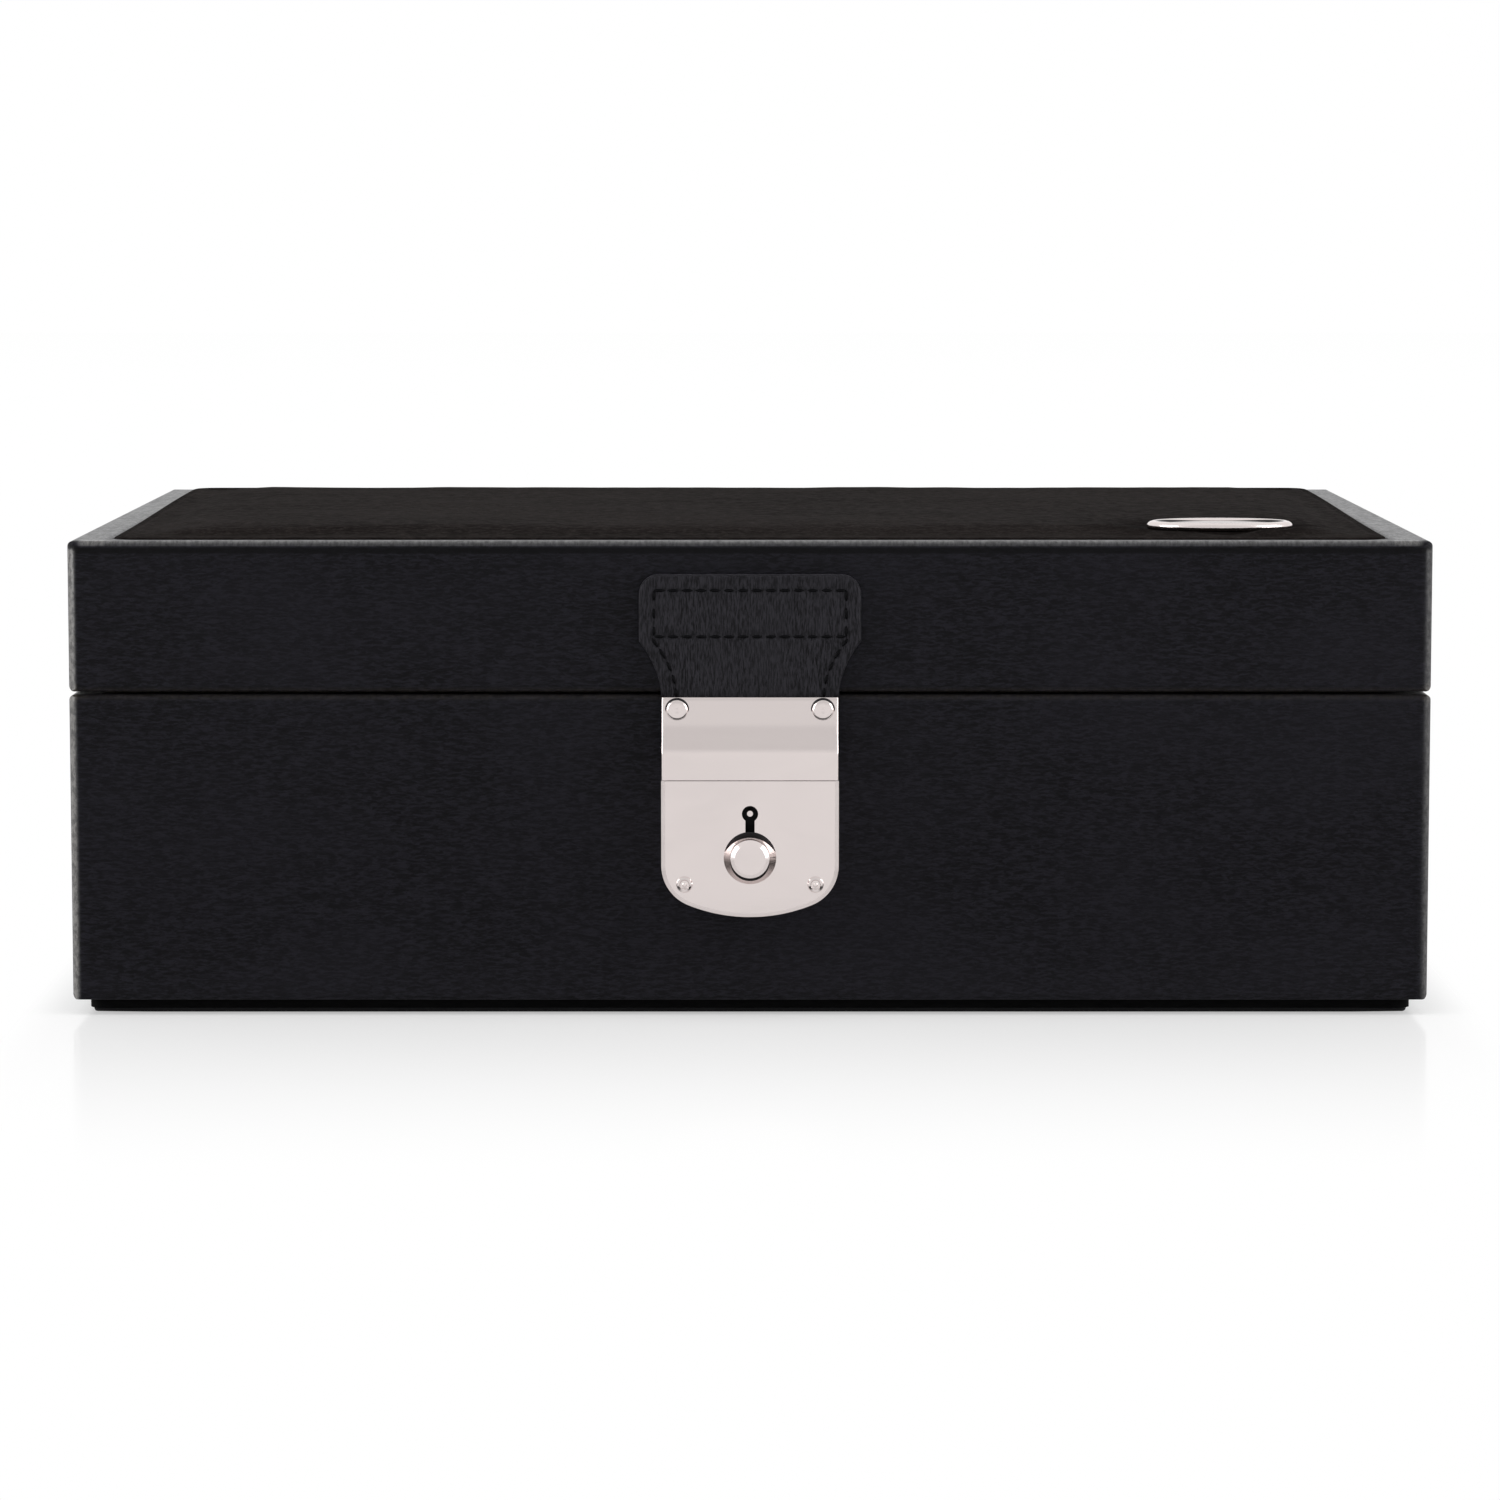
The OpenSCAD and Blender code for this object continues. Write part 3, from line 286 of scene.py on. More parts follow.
def strap_leather(sizes):
    """Vegetable-tanned strap with an upright fibre."""
    colour = tuple(sizes.strap_colour)
    f = Finish("hide, strap", Specular_IOR_Level=sizes.leather_gloss, IOR=1.5)
    fibre = f.cloud(0.27, (1.0, 1.0, 0.14), 4, 0.65, 0.2)
    pores = f.cells(0.36)
    broad = f.cloud(9, (1, 1, 0.5), 2)
    tone = f.blended(f.between(fibre, 0.36, 0.64), rgb(colour, 0.3), rgb(colour, 1.75))
    tone = f.blended(f.between(broad, 0.4, 0.7) * 0.25, tone, rgb(colour, 1.5))
    return f.done(tone, f.between(fibre, 0.3, 0.7, 0.66, 0.42), f.relief(fibre, 0.03, f.relief(pores, 0.012)))


def edge_paint(sizes):
    """Glossy paint along the cut edges of the strap."""
    colour = tuple(sizes.strap_colour)
    f = Finish("edge paint", Specular_IOR_Level=0.45)
    drops = f.cloud(1.4)
    tone = f.blended(f.between(drops, 0.35, 0.7), rgb(colour, 2.5), rgb(colour, 5.0))
    return f.done(tone, f.between(drops, 0.3, 0.7, 0.28, 0.42), f.relief(drops, 0.05))


def pad_leather(sizes):
    """Soft nappa with a matt, brownish surface, with painted shade round the badge."""
    colour = tuple(sizes.pad_colour)
    f = Finish("nappa, matt", Specular_IOR_Level=0.008, IOR=1.45)
    grain = f.cells(0.75, feature="SMOOTH_F1")
    wrinkles = f.cloud(1.6, (0.7, 1.0, 1.0), 5, 0.6, 0.4)
    broad = f.cloud(60, (0.6, 1.6, 1), 2)
    low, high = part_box("badge_plate")
    # Painted shade: the nappa is darker in the hollow round the badge.
    hollow_shade = f.between(f.oval((low + high) / 2, (high - low) / 2), 2.3, 1.0)
    tone = f.blended(f.between(wrinkles, 0.36, 0.64), rgb(colour, 0.7), rgb(colour, 1.9))
    tone = f.blended(f.between(broad, 0.38, 0.62) * 0.45, tone, rgb(colour, 2.1))
    tone = f.blended(f.between(grain, 0.25, 0.45) * 0.45, tone, rgb(colour, 0.4))
    tone = f.blended(hollow_shade * 0.6, tone, rgb(colour, 0.15))
    bump = f.relief(wrinkles, 0.12, f.relief(grain, 0.06))
    return f.done(tone, f.between(wrinkles, 0.3, 0.7, 0.84, 0.7), bump)


def nickel(name, colour, rough, hairline):
    """Polished plate with hairlines, faint smears and a little pitting."""
    f = Finish(name, Metallic=1.0)
    lines = f.cloud(0.9, (0.04, 1.0, 3.0), 4, 0.7)
    smears = f.cloud(14, (0.5, 1, 1), 3, 0.6, 0.8)
    pits = f.between(f.cells(1.3), 0.06, 0.02)
    tone = f.blended(f.between(smears, 0.35, 0.75) * 0.5, rgb(colour), rgb(colour, 0.94))
    tone = f.blended(pits * 0.12, tone, rgb(colour, 0.7))
    dull = f.between(smears, 0.3, 0.75, rough, rough + 0.05) + lines * 0.04
    return f.done(tone, dull, f.relief(lines, hairline))


def napped(name, colour, size=0.5, sheen=0.3):
    """Suede or felt: short nap, brushed darker and lighter."""
    f = Finish(name, Specular_IOR_Level=0.1, Sheen_Weight=sheen, Sheen_Roughness=0.45)
    nap = f.cloud(size, (1, 1, 1), 6, 0.75)
    brushed = f.cloud(26, (1, 0.45, 1), 3, 0.6, 1.2)
    tone = f.blended(f.between(nap, 0.3, 0.7), rgb(colour, 0.7), rgb(colour, 1.25))
    tone = f.blended(f.between(brushed, 0.4, 0.65) * 0.45, tone, rgb(colour, 1.4))
    return f.done(tone, f.between(brushed, 0.3, 0.7, 0.95, 0.85), f.relief(nap, 0.14))


def badge_metal(middle, half, colour):
    """Polished bead round a duller, brushed field painted darker as a painted reflection; the groove between
    them is painted dark as shade.
    """
    f = Finish("nickel, badge", Metallic=1.0)

    def out_of(scale):
        taken = half[0] * (1 - scale)
        return f.oval(middle, (half[0] - taken, half[1] - taken))

    # Painted reflection: the field is painted darker, standing for the dark leather that it mirrors, streaked
    # by the brushing.
    field = f.between(out_of(0.84), 1.01, 0.99)
    # Painted shade: the groove between bead and field is painted nearly black.
    groove = f.between(out_of(0.89), 1.01, 0.99) * f.between(out_of(0.8), 0.98, 1.01)
    brushed = f.cloud(0.8, (0.05, 1.0, 1.0), 4, 0.7)
    tone = f.blended(field * (f.between(brushed, 0.3, 0.7) * 0.3 + 0.2), rgb(colour, 1.05), rgb(colour, 0.3))
    tone = f.blended(groove, tone, (0.02, 0.018, 0.018, 1))
    return f.done(tone, f.between(brushed, 0.3, 0.7, 0.14, 0.24) + field * 0.1, f.relief(brushed, 0.012))


def fibreboard(name, colour, gloss=0.2):
    """Pressed board with flecks."""
    f = Finish(name, Specular_IOR_Level=gloss)
    fleck = f.cloud(1.1, (0.35, 0.35, 1.2), 5, 0.7)
    tone = f.blended(f.between(fleck, 0.32, 0.68), rgb(colour, 0.72), rgb(colour, 1.2))
    tone = f.blended(f.between(f.cells(2.3), 0.3, 0.1) * 0.3, tone, rgb(colour, 0.55))
    return f.done(tone, f.between(fleck, 0.3, 0.7, 0.75, 0.6), f.relief(fleck, 0.06))


def thread(sizes):
    """Waxed, twisted thread."""
    colour = tuple(sizes.thread_colour)
    f = Finish("thread, waxed", Specular_IOR_Level=0.04)
    twist = f.cloud(0.22, (1, 1, 1), 2)
    tone = f.blended(f.between(twist, 0.35, 0.65), rgb(colour, 0.6), rgb(colour, 1.6))
    return f.done(tone, f.between(twist, 0.3, 0.7, 0.32, 0.5), f.relief(twist, 0.05))


# ---------- mesh helpers ----------


def placed(name, data):
    """A new object at the origin, in the scene's own collection."""
    made = bpy.data.objects.new(name, data)
    bpy.context.scene.collection.objects.link(made)
    return made


def link(name, mesh, materials, smooth=True):
    made = placed(name, mesh)
    for material in materials:
        mesh.materials.append(material)
    if smooth:
        mesh.polygons.foreach_set("use_smooth", [True] * len(mesh.polygons))
    mesh.update()
    return made


def solid_mesh(name, bm):
    """Ends a bmesh as a mesh whose faces point outwards."""
    bmesh.ops.recalc_face_normals(bm, faces=bm.faces)
    mesh = bpy.data.meshes.new(name)
    bm.to_mesh(mesh)
    bm.free()
    return mesh


def skin(bm, rings):
    """Joins each closed ring of points to the next one with faces."""
    for first, second in zip(rings, rings[1:]):
        for k in range(len(first)):
            n = (k + 1) % len(first)
            bm.faces.new((first[k], first[n], second[n], second[k]))


def slab_mesh(name, columns, rows, shape, wall_slot=0):
    """Closed slab over a grid; shape(i, j) gives its upper and lower point there."""
    bm = bmesh.new()
    upper, lower = [], []
    for j in range(rows):
        pairs = [shape(i, j) for i in range(columns)]
        upper.append([bm.verts.new(pair[0]) for pair in pairs])
        lower.append([bm.verts.new(pair[1]) for pair in pairs])
    for j in range(rows - 1):
        for i in range(columns - 1):
            bm.faces.new((upper[j][i], upper[j][i + 1], upper[j + 1][i + 1], upper[j + 1][i]))
            bm.faces.new((lower[j][i], lower[j + 1][i], lower[j + 1][i + 1], lower[j][i + 1]))
    ring = [(i, 0) for i in range(columns)] + [(columns - 1, j) for j in range(1, rows)]
    ring += [(i, rows - 1) for i in range(columns - 2, -1, -1)] + [(0, j) for j in range(rows - 2, 0, -1)]
    for k, (i, j) in enumerate(ring):
        a, b = ring[(k + 1) % len(ring)]
        wall = bm.faces.new((upper[j][i], lower[j][i], lower[b][a], upper[b][a]))
        wall.material_index = wall_slot
    return solid_mesh(name, bm)


def quad_mesh(name, corners):
    mesh = bpy.data.meshes.new(name)
    mesh.from_pydata(corners, [], [(0, 1, 2, 3)])
    return mesh


def spread(half, edges, pitch):
    """Places from -half to half, close together near both ends."""
    reach = half - edges[-1]
    count = max(2, round(2 * reach / pitch))
    middle = [-reach + 2 * reach * k / count for k in range(1, count)]
    left = [-half + e for e in edges]
    return left + middle + [-x for x in reversed(left)]


def in_corner(x, y, half_w, half_d, radius):
    """Pulls a point of a rectangle's grid inside its rounded corners."""
    dx, dy = abs(x) - (half_w - radius), abs(y) - (half_d - radius)
    if dx <= 0 or dy <= 0:
        return x, y
    pull = max(dx, dy) / math.hypot(dx, dy)
    return (math.copysign(half_w - radius + dx * pull, x), math.copysign(half_d - radius + dy * pull, y))


def inset(x, y, half_w, half_d):
    """Distance in from a rectangle's outline."""
    return min(half_w - abs(x), half_d - abs(y))


def quarter(distance, reach):
    """Height from 0 to 1 of a quarter-round shoulder."""
    t = 1 - min(max(distance / reach, 0), 1)
    return math.sqrt(1 - t * t)


def ease(t):
    t = min(max(t, 0), 1)
    return (1 - math.cos(math.pi * t)) / 2


def bell(distance, width):
    return math.exp(-((distance / width) ** 2))


def soft_panel(name, low, high, materials, corner=3.0, edge=1.2, crown=0.6, face=1, pitch=4.0, seams=()):
    """Thin padded panel that fills the box from low to high and is crowned on one face."""
    centre = (low + high) / 2
    half = (high - low) / 2 / MM
    edges = [0, edge * 0.12, edge * 0.32, edge * 0.62, edge, edge * 1.8]
    xs, ys = spread(half.x, edges, pitch), spread(half.y, edges, pitch)

    def shape(i, j):
        x, y = xs[i], ys[j]
        inside = inset(x, y, half.x, half.y)
        swell = (1 - crown) + crown * quarter(inside, min(half.x, half.y) * 0.5)
        for seam in seams:
            swell -= 0.35 * bell(inside - seam, 1.1)
        rise = 2 * half.z * quarter(inside, edge) * max(swell, 0.2)
        rise += 0.12 * noise.noise(Vector((x, y, 0)) / 26) * min(inside / 8, 1) - 0.06
        x, y = in_corner(x, y, half.x, half.y, corner)
        rise = min(max(rise, 0.35 * half.z), 2 * half.z)
        back = -half.z * face + 0.12 * face * (1 - quarter(inside, edge))
        front = (-half.z + rise) * face
        return [centre + Vector((x, y, z)) * MM for z in (front, back)]

    return link(name, slab_mesh(name, len(xs), len(ys), shape), materials)


def plain_mesh(name, source):
    """The evaluated result of an object's modifiers as a plain mesh; the source is removed."""
    bpy.context.view_layer.update()
    evaluated = source.evaluated_get(bpy.context.evaluated_depsgraph_get())
    mesh = bpy.data.meshes.new_from_object(evaluated)
    mesh.name = name
    bpy.data.objects.remove(source)
    return placed(name, mesh)


# ---------- geometry node trees ----------


class Pattern(Tree):
    """A Geometry Nodes tree with named inputs, run on an object; each input's kind follows its default."""

    KINDS = {type(None): "NodeSocketGeometry", float: "NodeSocketFloat", int: "NodeSocketInt",
             tuple: "NodeSocketVector"}

    def __init__(self, name, **inputs):
        tree = bpy.data.node_groups.new(name, "GeometryNodeTree")
        super().__init__(tree)
        self.places = {}
        for label, default in inputs.items():
            item = self.add_input(label, self.KINDS[type(default)])
            if default is not None:
                item.default_value = default
        self.add_input("Material", "NodeSocketMaterial")
        tree.interface.new_socket("Geometry", in_out="OUTPUT", socket_type="NodeSocketGeometry")
        self.inputs = self.tree.nodes.new("NodeGroupInput")

    def add_input(self, label, kind):
        item = self.tree.interface.new_socket(label, in_out="INPUT", socket_type=kind)
        self.places[label] = item.identifier
        return item

    def given(self, label):
        return Wire(self, self.find(self.inputs.outputs, self.places[label]))

    def xyz(self, x, y, z):
        return self.node("ShaderNodeCombineXYZ", None, {0: x, 1: y, 2: z})

    def row(self, count, start, step):
        """Points in a straight row along x."""
        sockets = {"Count": count, "Start Location": start, "Offset": self.xyz(step, 0.0, 0.0)}
        return self.node("GeometryNodeMeshLine", {"mode": "OFFSET"}, sockets)

    def lay(self, points, instance, rotation, scale=(1, 1, 1)):
        """Ends the tree: a copy on each point, as real, smooth geometry with its material."""
        sockets = {"Points": points, "Instance": instance, "Rotation": rotation, "Scale": scale}
        laid = self.node("GeometryNodeInstanceOnPoints", None, sockets)
        real = self.node("GeometryNodeRealizeInstances", None, {0: laid})
        smooth = self.node("GeometryNodeSetShadeSmooth", None, {0: real})
        done = self.node("GeometryNodeSetMaterial", None, {0: smooth, "Material": self.given("Material")})
        self.node("NodeGroupOutput", None, {0: done})
        return self

    def run(self, name, mesh, values):
        source = placed(name, mesh)
        modifier = source.modifiers.new(name, "NODES")
        modifier.node_group = self.tree
        for label, value in values.items():
            modifier[self.places[label]] = value
        return plain_mesh(name, source)


def stitch_pattern():
    """Stitches laid end to end along the edges of a mesh."""
    p = Pattern("stitches", Path=None, Pitch=0.003, Length=0.0024, Thickness=0.0007, Seed=3)
    curve = p.node("GeometryNodeMeshToCurve", None, {0: p.given("Path")})
    points = p.node("GeometryNodeCurveToPoints", {"mode": "LENGTH"},
                    {"Curve": curve, "Length": p.given("Pitch")})
    turn = p.node("FunctionNodeAlignRotationToVector", {"axis": "X"}, {"Vector": p.other(points, "Tangent")})
    loose = p.node("FunctionNodeRandomValue", {"data_type": "FLOAT"},
                   {"Min_001": 0.86, "Max_001": 1.06, "Seed": p.given("Seed")}, "Value_001")
    size = p.xyz(p.given("Length") * loose, p.given("Thickness"), p.given("Thickness"))
    bead = p.node("GeometryNodeMeshUVSphere", None, {"Segments": 8, "Rings": 6, "Radius": 0.5})
    return p.lay(points, bead, turn, size)


def rivet_pattern():
    """A level row of domed rivets, each with a shallow set mark in its middle."""
    p = Pattern("rivets", Spread=0.03, Radius=0.002, Dome=0.0009, Out=0.1, Height=0.05)
    radius = p.given("Radius")
    start = p.xyz(p.given("Spread") * -0.5, p.given("Out") * -1, p.given("Height"))
    ball = p.node("GeometryNodeMeshUVSphere", None, {"Segments": 48, "Rings": 25, "Radius": 1.0})
    x = p.node("ShaderNodeSeparateXYZ", None, {0: p.node("GeometryNodeInputPosition")})
    y, z = p.other(x, 1), p.other(x, 2)
    across = (x * x + y * y) ** 0.5
    flat = p.maths("MAXIMUM", 1 - across ** 3.2, 0.0) ** (1 / 3.2)
    out = p.maths("MAXIMUM", p.maths("MINIMUM", z * 9, flat), -0.25)
    mark = p.node("ShaderNodeMapRange", {"interpolation_type": "SMOOTHSTEP"},
                  {"Value": across, "From Min": 0.16, "From Max": 0.26, "To Min": 0.16, "To Max": 0.0})
    dome = p.node("GeometryNodeSetPosition", None, {"Geometry": ball, "Position": p.xyz(x, y, out - mark)})
    size = p.xyz(radius, radius, p.given("Dome"))
    return p.lay(p.row(2, start, p.given("Spread")), dome, (math.pi / 2, 0, 0), size)


def screw_pattern():
    """Countersunk screw heads with a cross recess, in a level row."""
    p = Pattern("screws", Count=3, Pitch=0.014, Radius=0.0017, Middle=(0, 0, 0), Face=1.0)
    radius, pitch = p.given("Radius"), p.given("Pitch")
    half = (p.given("Count") - 1) * pitch * -0.5
    start = p.node("ShaderNodeVectorMath", {"operation": "ADD"},
                   {0: p.given("Middle"), 1: p.xyz(half, 0.0, 0.0)})
    cone = {"Vertices": 24, "Radius Top": radius, "Radius Bottom": radius * 0.47, "Depth": 0.0009}
    cut = p.node("GeometryNodeMeshCone", None, cone, "Mesh")
    arm = p.xyz(radius * 1.3, radius * 0.24, radius * 0.7)
    for turn in (0.4, 0.4 + math.pi / 2):
        bar = p.node("GeometryNodeMeshCube", None, {"Size": arm}, "Mesh")
        bar = p.node("GeometryNodeTransform", None,
                     {"Geometry": bar, "Translation": (0, 0, 0.0009), "Rotation": (0, 0, turn)})
        cut = p.node("GeometryNodeMeshBoolean", {"operation": "DIFFERENCE"},
                     {"Mesh 1": cut, "Mesh 2": bar}, "Mesh")
    shank = p.node("GeometryNodeMeshCylinder", None,
                   {"Vertices": 12, "Radius": radius * 0.45, "Depth": 0.007}, "Mesh")
    shank = p.node("GeometryNodeTransform", None, {"Geometry": shank, "Translation": (0, 0, -0.0034)})
    whole = p.node("GeometryNodeJoinGeometry")
    for part in (cut, shank):
        p.tree.links.new(part.socket, whole.socket.node.inputs[0])
    turned = p.xyz((1 - p.given("Face")) * (math.pi / 2), 0.0, 0.0)
    return p.lay(p.row(p.given("Count"), start, pitch), whole, turned)


def line_mesh(name, paths):
    """Open lines as a mesh of edges, from lists of points in millimetres."""
    points, edges = [], []
    for path in paths:
        first = len(points)
        points += [Vector(q) * MM for q in path]
        edges += [(first + k, first + k + 1) for k in range(len(path) - 1)]
    mesh = bpy.data.meshes.new(name)
    mesh.from_pydata(points, edges, [])
    return mesh


def sewn(name, paths, pitch, thickness, seed):
    """Rows of stitches along open lines."""
    return stitch_pattern().run(name, line_mesh(name, paths), {
        "Pitch": pitch, "Length": pitch * 0.84, "Thickness": thickness * MM, "Seed": seed,
        "Material": FINISHES["thread"]})


# ---------- strap ----------


class StrapShape:
    """The strap's outline and section, in millimetres; out is the distance from the leather."""

    def __init__(self, sizes):
        low, high = box_mm("strap_anchor")
        self.top, self.joint, self.half, self.thick = high.z, low.z, high.x, high.y - low.y
        self.plate_top = box_mm("hasp_plate")[1].z
        self.end = box_mm("strap_flap")[0].z
        self.neck = sizes.neck_width / MM / 2
        self.inset = sizes.stitch_inset / MM
        self.corner = 4.5
        # The level rows of the stitched box.
        self.box_top, self.box_low = self.top - 3.5, self.joint + 1.0

    def width(self, z):
        """Half the strap's width: round corners, straight sides, a neck, and the hidden end."""
        if z > self.top - self.corner:
            fall = z - (self.top - self.corner)
            return self.half - self.corner + math.sqrt(max(self.corner ** 2 - fall ** 2, 0))
        if z > self.joint:
            return self.half
        if z > self.plate_top:
            share = (z - self.plate_top) / (self.joint - self.plate_top)
            return self.neck + (self.half - self.neck) * share ** 1.9
        return self.neck - 0.8

    def edge(self, x, z):
        """Distance in from the strap's outline."""
        centre = self.top - self.corner
        across = abs(x) - (self.half - self.corner)
        if z > centre and across > 0:
            return self.corner - math.hypot(across, z - centre)
        return min(self.width(z) - abs(x), self.top - z)

    def groove(self, x, z):
        """How near a point is to a row of stitches, from 0 to 1."""
        line, past = self.half - self.inset, 0.4
        near = [math.inf]
        if self.box_low - past < z < self.box_top + past:
            near.append(abs(abs(x) - line))
        if abs(x) < line + past:
            near += [abs(z - self.box_top), abs(z - self.box_low)]
        if self.plate_top < z < self.box_low:
            near.append(abs(abs(x) - (self.width(z) - self.inset)))
        return bell(min(near), 0.55)

    def front(self, x, z):
        """How far the outer face stands out: rounded edges, grooves for the stitches, and a slight swell."""
        rounding = 0.65
        drop = rounding * (1 - quarter(self.edge(x, z), rounding))
        puff = 0.12 * max(0, 1 - (x / self.half) ** 2) * ease((z - self.plate_top) / 6)
        hidden = 1 - ease((z - self.plate_top + 0.3) / 0.3)
        return self.thick - 0.12 - drop - 0.2 * self.groove(x, z) * (1 - hidden) + puff * (1 - hidden)

    def back(self, z):
        """How far the inner face stands out; it lifts off below the joint and lies under the plate."""
        lift = 0.35 * (1 - ease((z - self.joint + 0.8) / 0.8))
        return lift + 0.6 * (1 - ease((z - self.plate_top + 0.3) / 0.3))


def falling(start, stop, step):
    """Heights from start down to stop, at equal steps."""
    return [start - step * k for k in range(math.ceil((start - stop) / step))]


def strap_rows(s):
    """Heights of the strap's grid, close together at its edges, grooves and bend."""
    around = (0.45, 0, -0.45)
    rows = [s.top - d for d in (0, 0.1, 0.25, 0.45, 0.7, 1.0, 1.4, 1.9, 2.4, 2.8)]
    rows += [s.box_top + d for d in around] + falling(s.box_top - 1.0, s.box_low + 0.9, 0.7)
    rows += [s.box_low + d for d in around] + falling(s.joint + 0.25, s.joint - 3.6, 0.3)
    rows += falling(s.joint - 3.65, s.plate_top + 0.4, 0.75)
    return rows + [s.plate_top + d for d in (0.02, -0.05, -0.35, -3, -6)] + [s.end]


def make_strap_mesh(s):
    rows = strap_rows(s)
    edges = [0, 0.1, 0.25, 0.45, 0.7, 1.1, 1.7, 2.3, 2.8, 3.05, 3.35, 3.65, 3.95, 4.5, 5.5]
    inner = [k / 8 for k in range(-7, 8)]

    def shape(i, j):
        z = rows[j]
        half = s.width(z)
        across = [-half + e for e in edges] + [(half - edges[-1]) * k for k in inner]
        x = (across + [half - e for e in reversed(edges)])[i]
        back = s.back(z) + 0.15 * (1 - quarter(s.edge(x, z), 0.4))
        front = max(s.front(x, z), back + 0.5)
        return [Vector((x * MM, FRONT_Y - out * MM, z * MM)) for out in (front, back)]

    return slab_mesh("strap", len(edges) * 2 + len(inner), len(rows), shape, 1)


def strap_stitch_paths(s):
    """The stitched box, and a row along each side of the neck."""
    line, gap = s.half - s.inset, 1.2
    neck_low, neck_high = s.plate_top + 0.8, s.box_low - 1.3

    def at(x, z):
        return (x, FRONT_Y / MM - s.front(x, z) - 0.04, z)

    def along(start, end, steps):
        return [start + (end - start) * k / steps for k in range(steps + 1)]

    paths = [[at(x, z) for x in along(gap - line, line - gap, 12)] for z in (s.box_top, s.box_low)]
    for side in (-1, 1):
        paths.append([at(side * line, z) for z in along(s.box_low + gap, s.box_top - gap, 6)])
        paths.append([at(side * (s.width(z) - s.inset), z) for z in along(neck_low, neck_high, 16)])
    return paths


# ---------- hasp plate ----------


def joggle(t, soft=0.2):
    """A step from 0 to 1 with a straight middle and rounded ends."""
    t = min(max(t, 0), 1)
    if t < soft:
        return t * t / (2 * soft) / (1 - soft)
    if t > 1 - soft:
        return (1 - soft - (1 - t) ** 2 / (2 * soft)) / (1 - soft)
    return (t - soft / 2) / (1 - soft)


def hasp_slope(fall):
    """Slope of the plate's face at a distance below its top edge."""
    if fall < 9.4:
        return 0.2 + 0.4 * ease((fall - 5.2) / 4.0)
    return 0.6 * (1 - ease((fall - 9.4) / 3.6))


def hasp_face_out(fall, step):
    """How far the plate's face has come out at a distance below its top edge."""
    pitch, pieces = 0.1, 130
    slopes = [hasp_slope((k + 0.5) * pitch) for k in range(pieces)]
    done = min(fall / pitch, pieces)
    whole = int(done)
    part = (done - whole) * slopes[whole] if whole < pieces else 0.0
    return step * (sum(slopes[:whole]) + part) / sum(slopes)


def hasp_rows(sizes):
    """Outer and inner points of the plate's section, from its top edge down, in millimetres."""
    low, high = box_mm("hasp_plate")
    front = FRONT_Y / MM
    back, face = front - high.y, front - low.y
    top_out, nose_in = back + 1.5, face - 2.2
    # The inner face bends between these heights, and the lower edge hangs a little over the lock's.
    bend_high, bend_low, overhang = low.z + 11.45, low.z + 6.45, 0.16
    edge = low.z - overhang
    lip, lip_low, bend_end = 0.35, sizes.parting_round / MM, 13.2
    rows = []
    for k in range(7):
        turn = math.pi / 2 * k / 6
        out, z = top_out - lip + lip * math.sin(turn), high.z - lip + lip * math.cos(turn)
        rows.append((out, z, back, high.z - 0.01 * k))
    falls = [lip + (bend_end - lip) * k / 52 for k in range(1, 53)] + [14.5, 16.5, high.z - edge - lip_low]
    for fall in falls:
        z = high.z - fall
        inner = back + (nose_in - back) * joggle((bend_high - z) / (bend_high - bend_low))
        rows.append((top_out + hasp_face_out(fall, face - top_out), z, inner, max(z, edge + 0.1)))
    for k in range(1, 6):
        turn = math.pi / 2 * k / 5
        out, z = face - lip_low + lip_low * math.cos(turn), edge + lip_low - lip_low * math.sin(turn)
        rows.append((out, z, nose_in, edge + 0.1 * (1 - k / 5)))
    return rows, high.x


def make_hasp_mesh(sizes):
    rows, half = hasp_rows(sizes)
    edge = 0.5
    edges = [edge * (1 - math.sin(math.pi / 2 * k / 6)) for k in range(6, -1, -1)]
    columns = [-half + e for e in edges] + [-12, -6, 0, 6, 12] + [half - e for e in reversed(edges)]

    def shape(i, j):
        out, z, inner, inner_z = rows[j]
        drop = edge * (1 - quarter(half - abs(columns[i]), edge))
        section = ((out - drop, z), (inner, inner_z))
        return [Vector((columns[i] * MM, FRONT_Y - away * MM, height * MM)) for away, height in section]

    return slab_mesh("hasp_face", len(columns), len(rows), shape)


# ---------- pad in the lid ----------


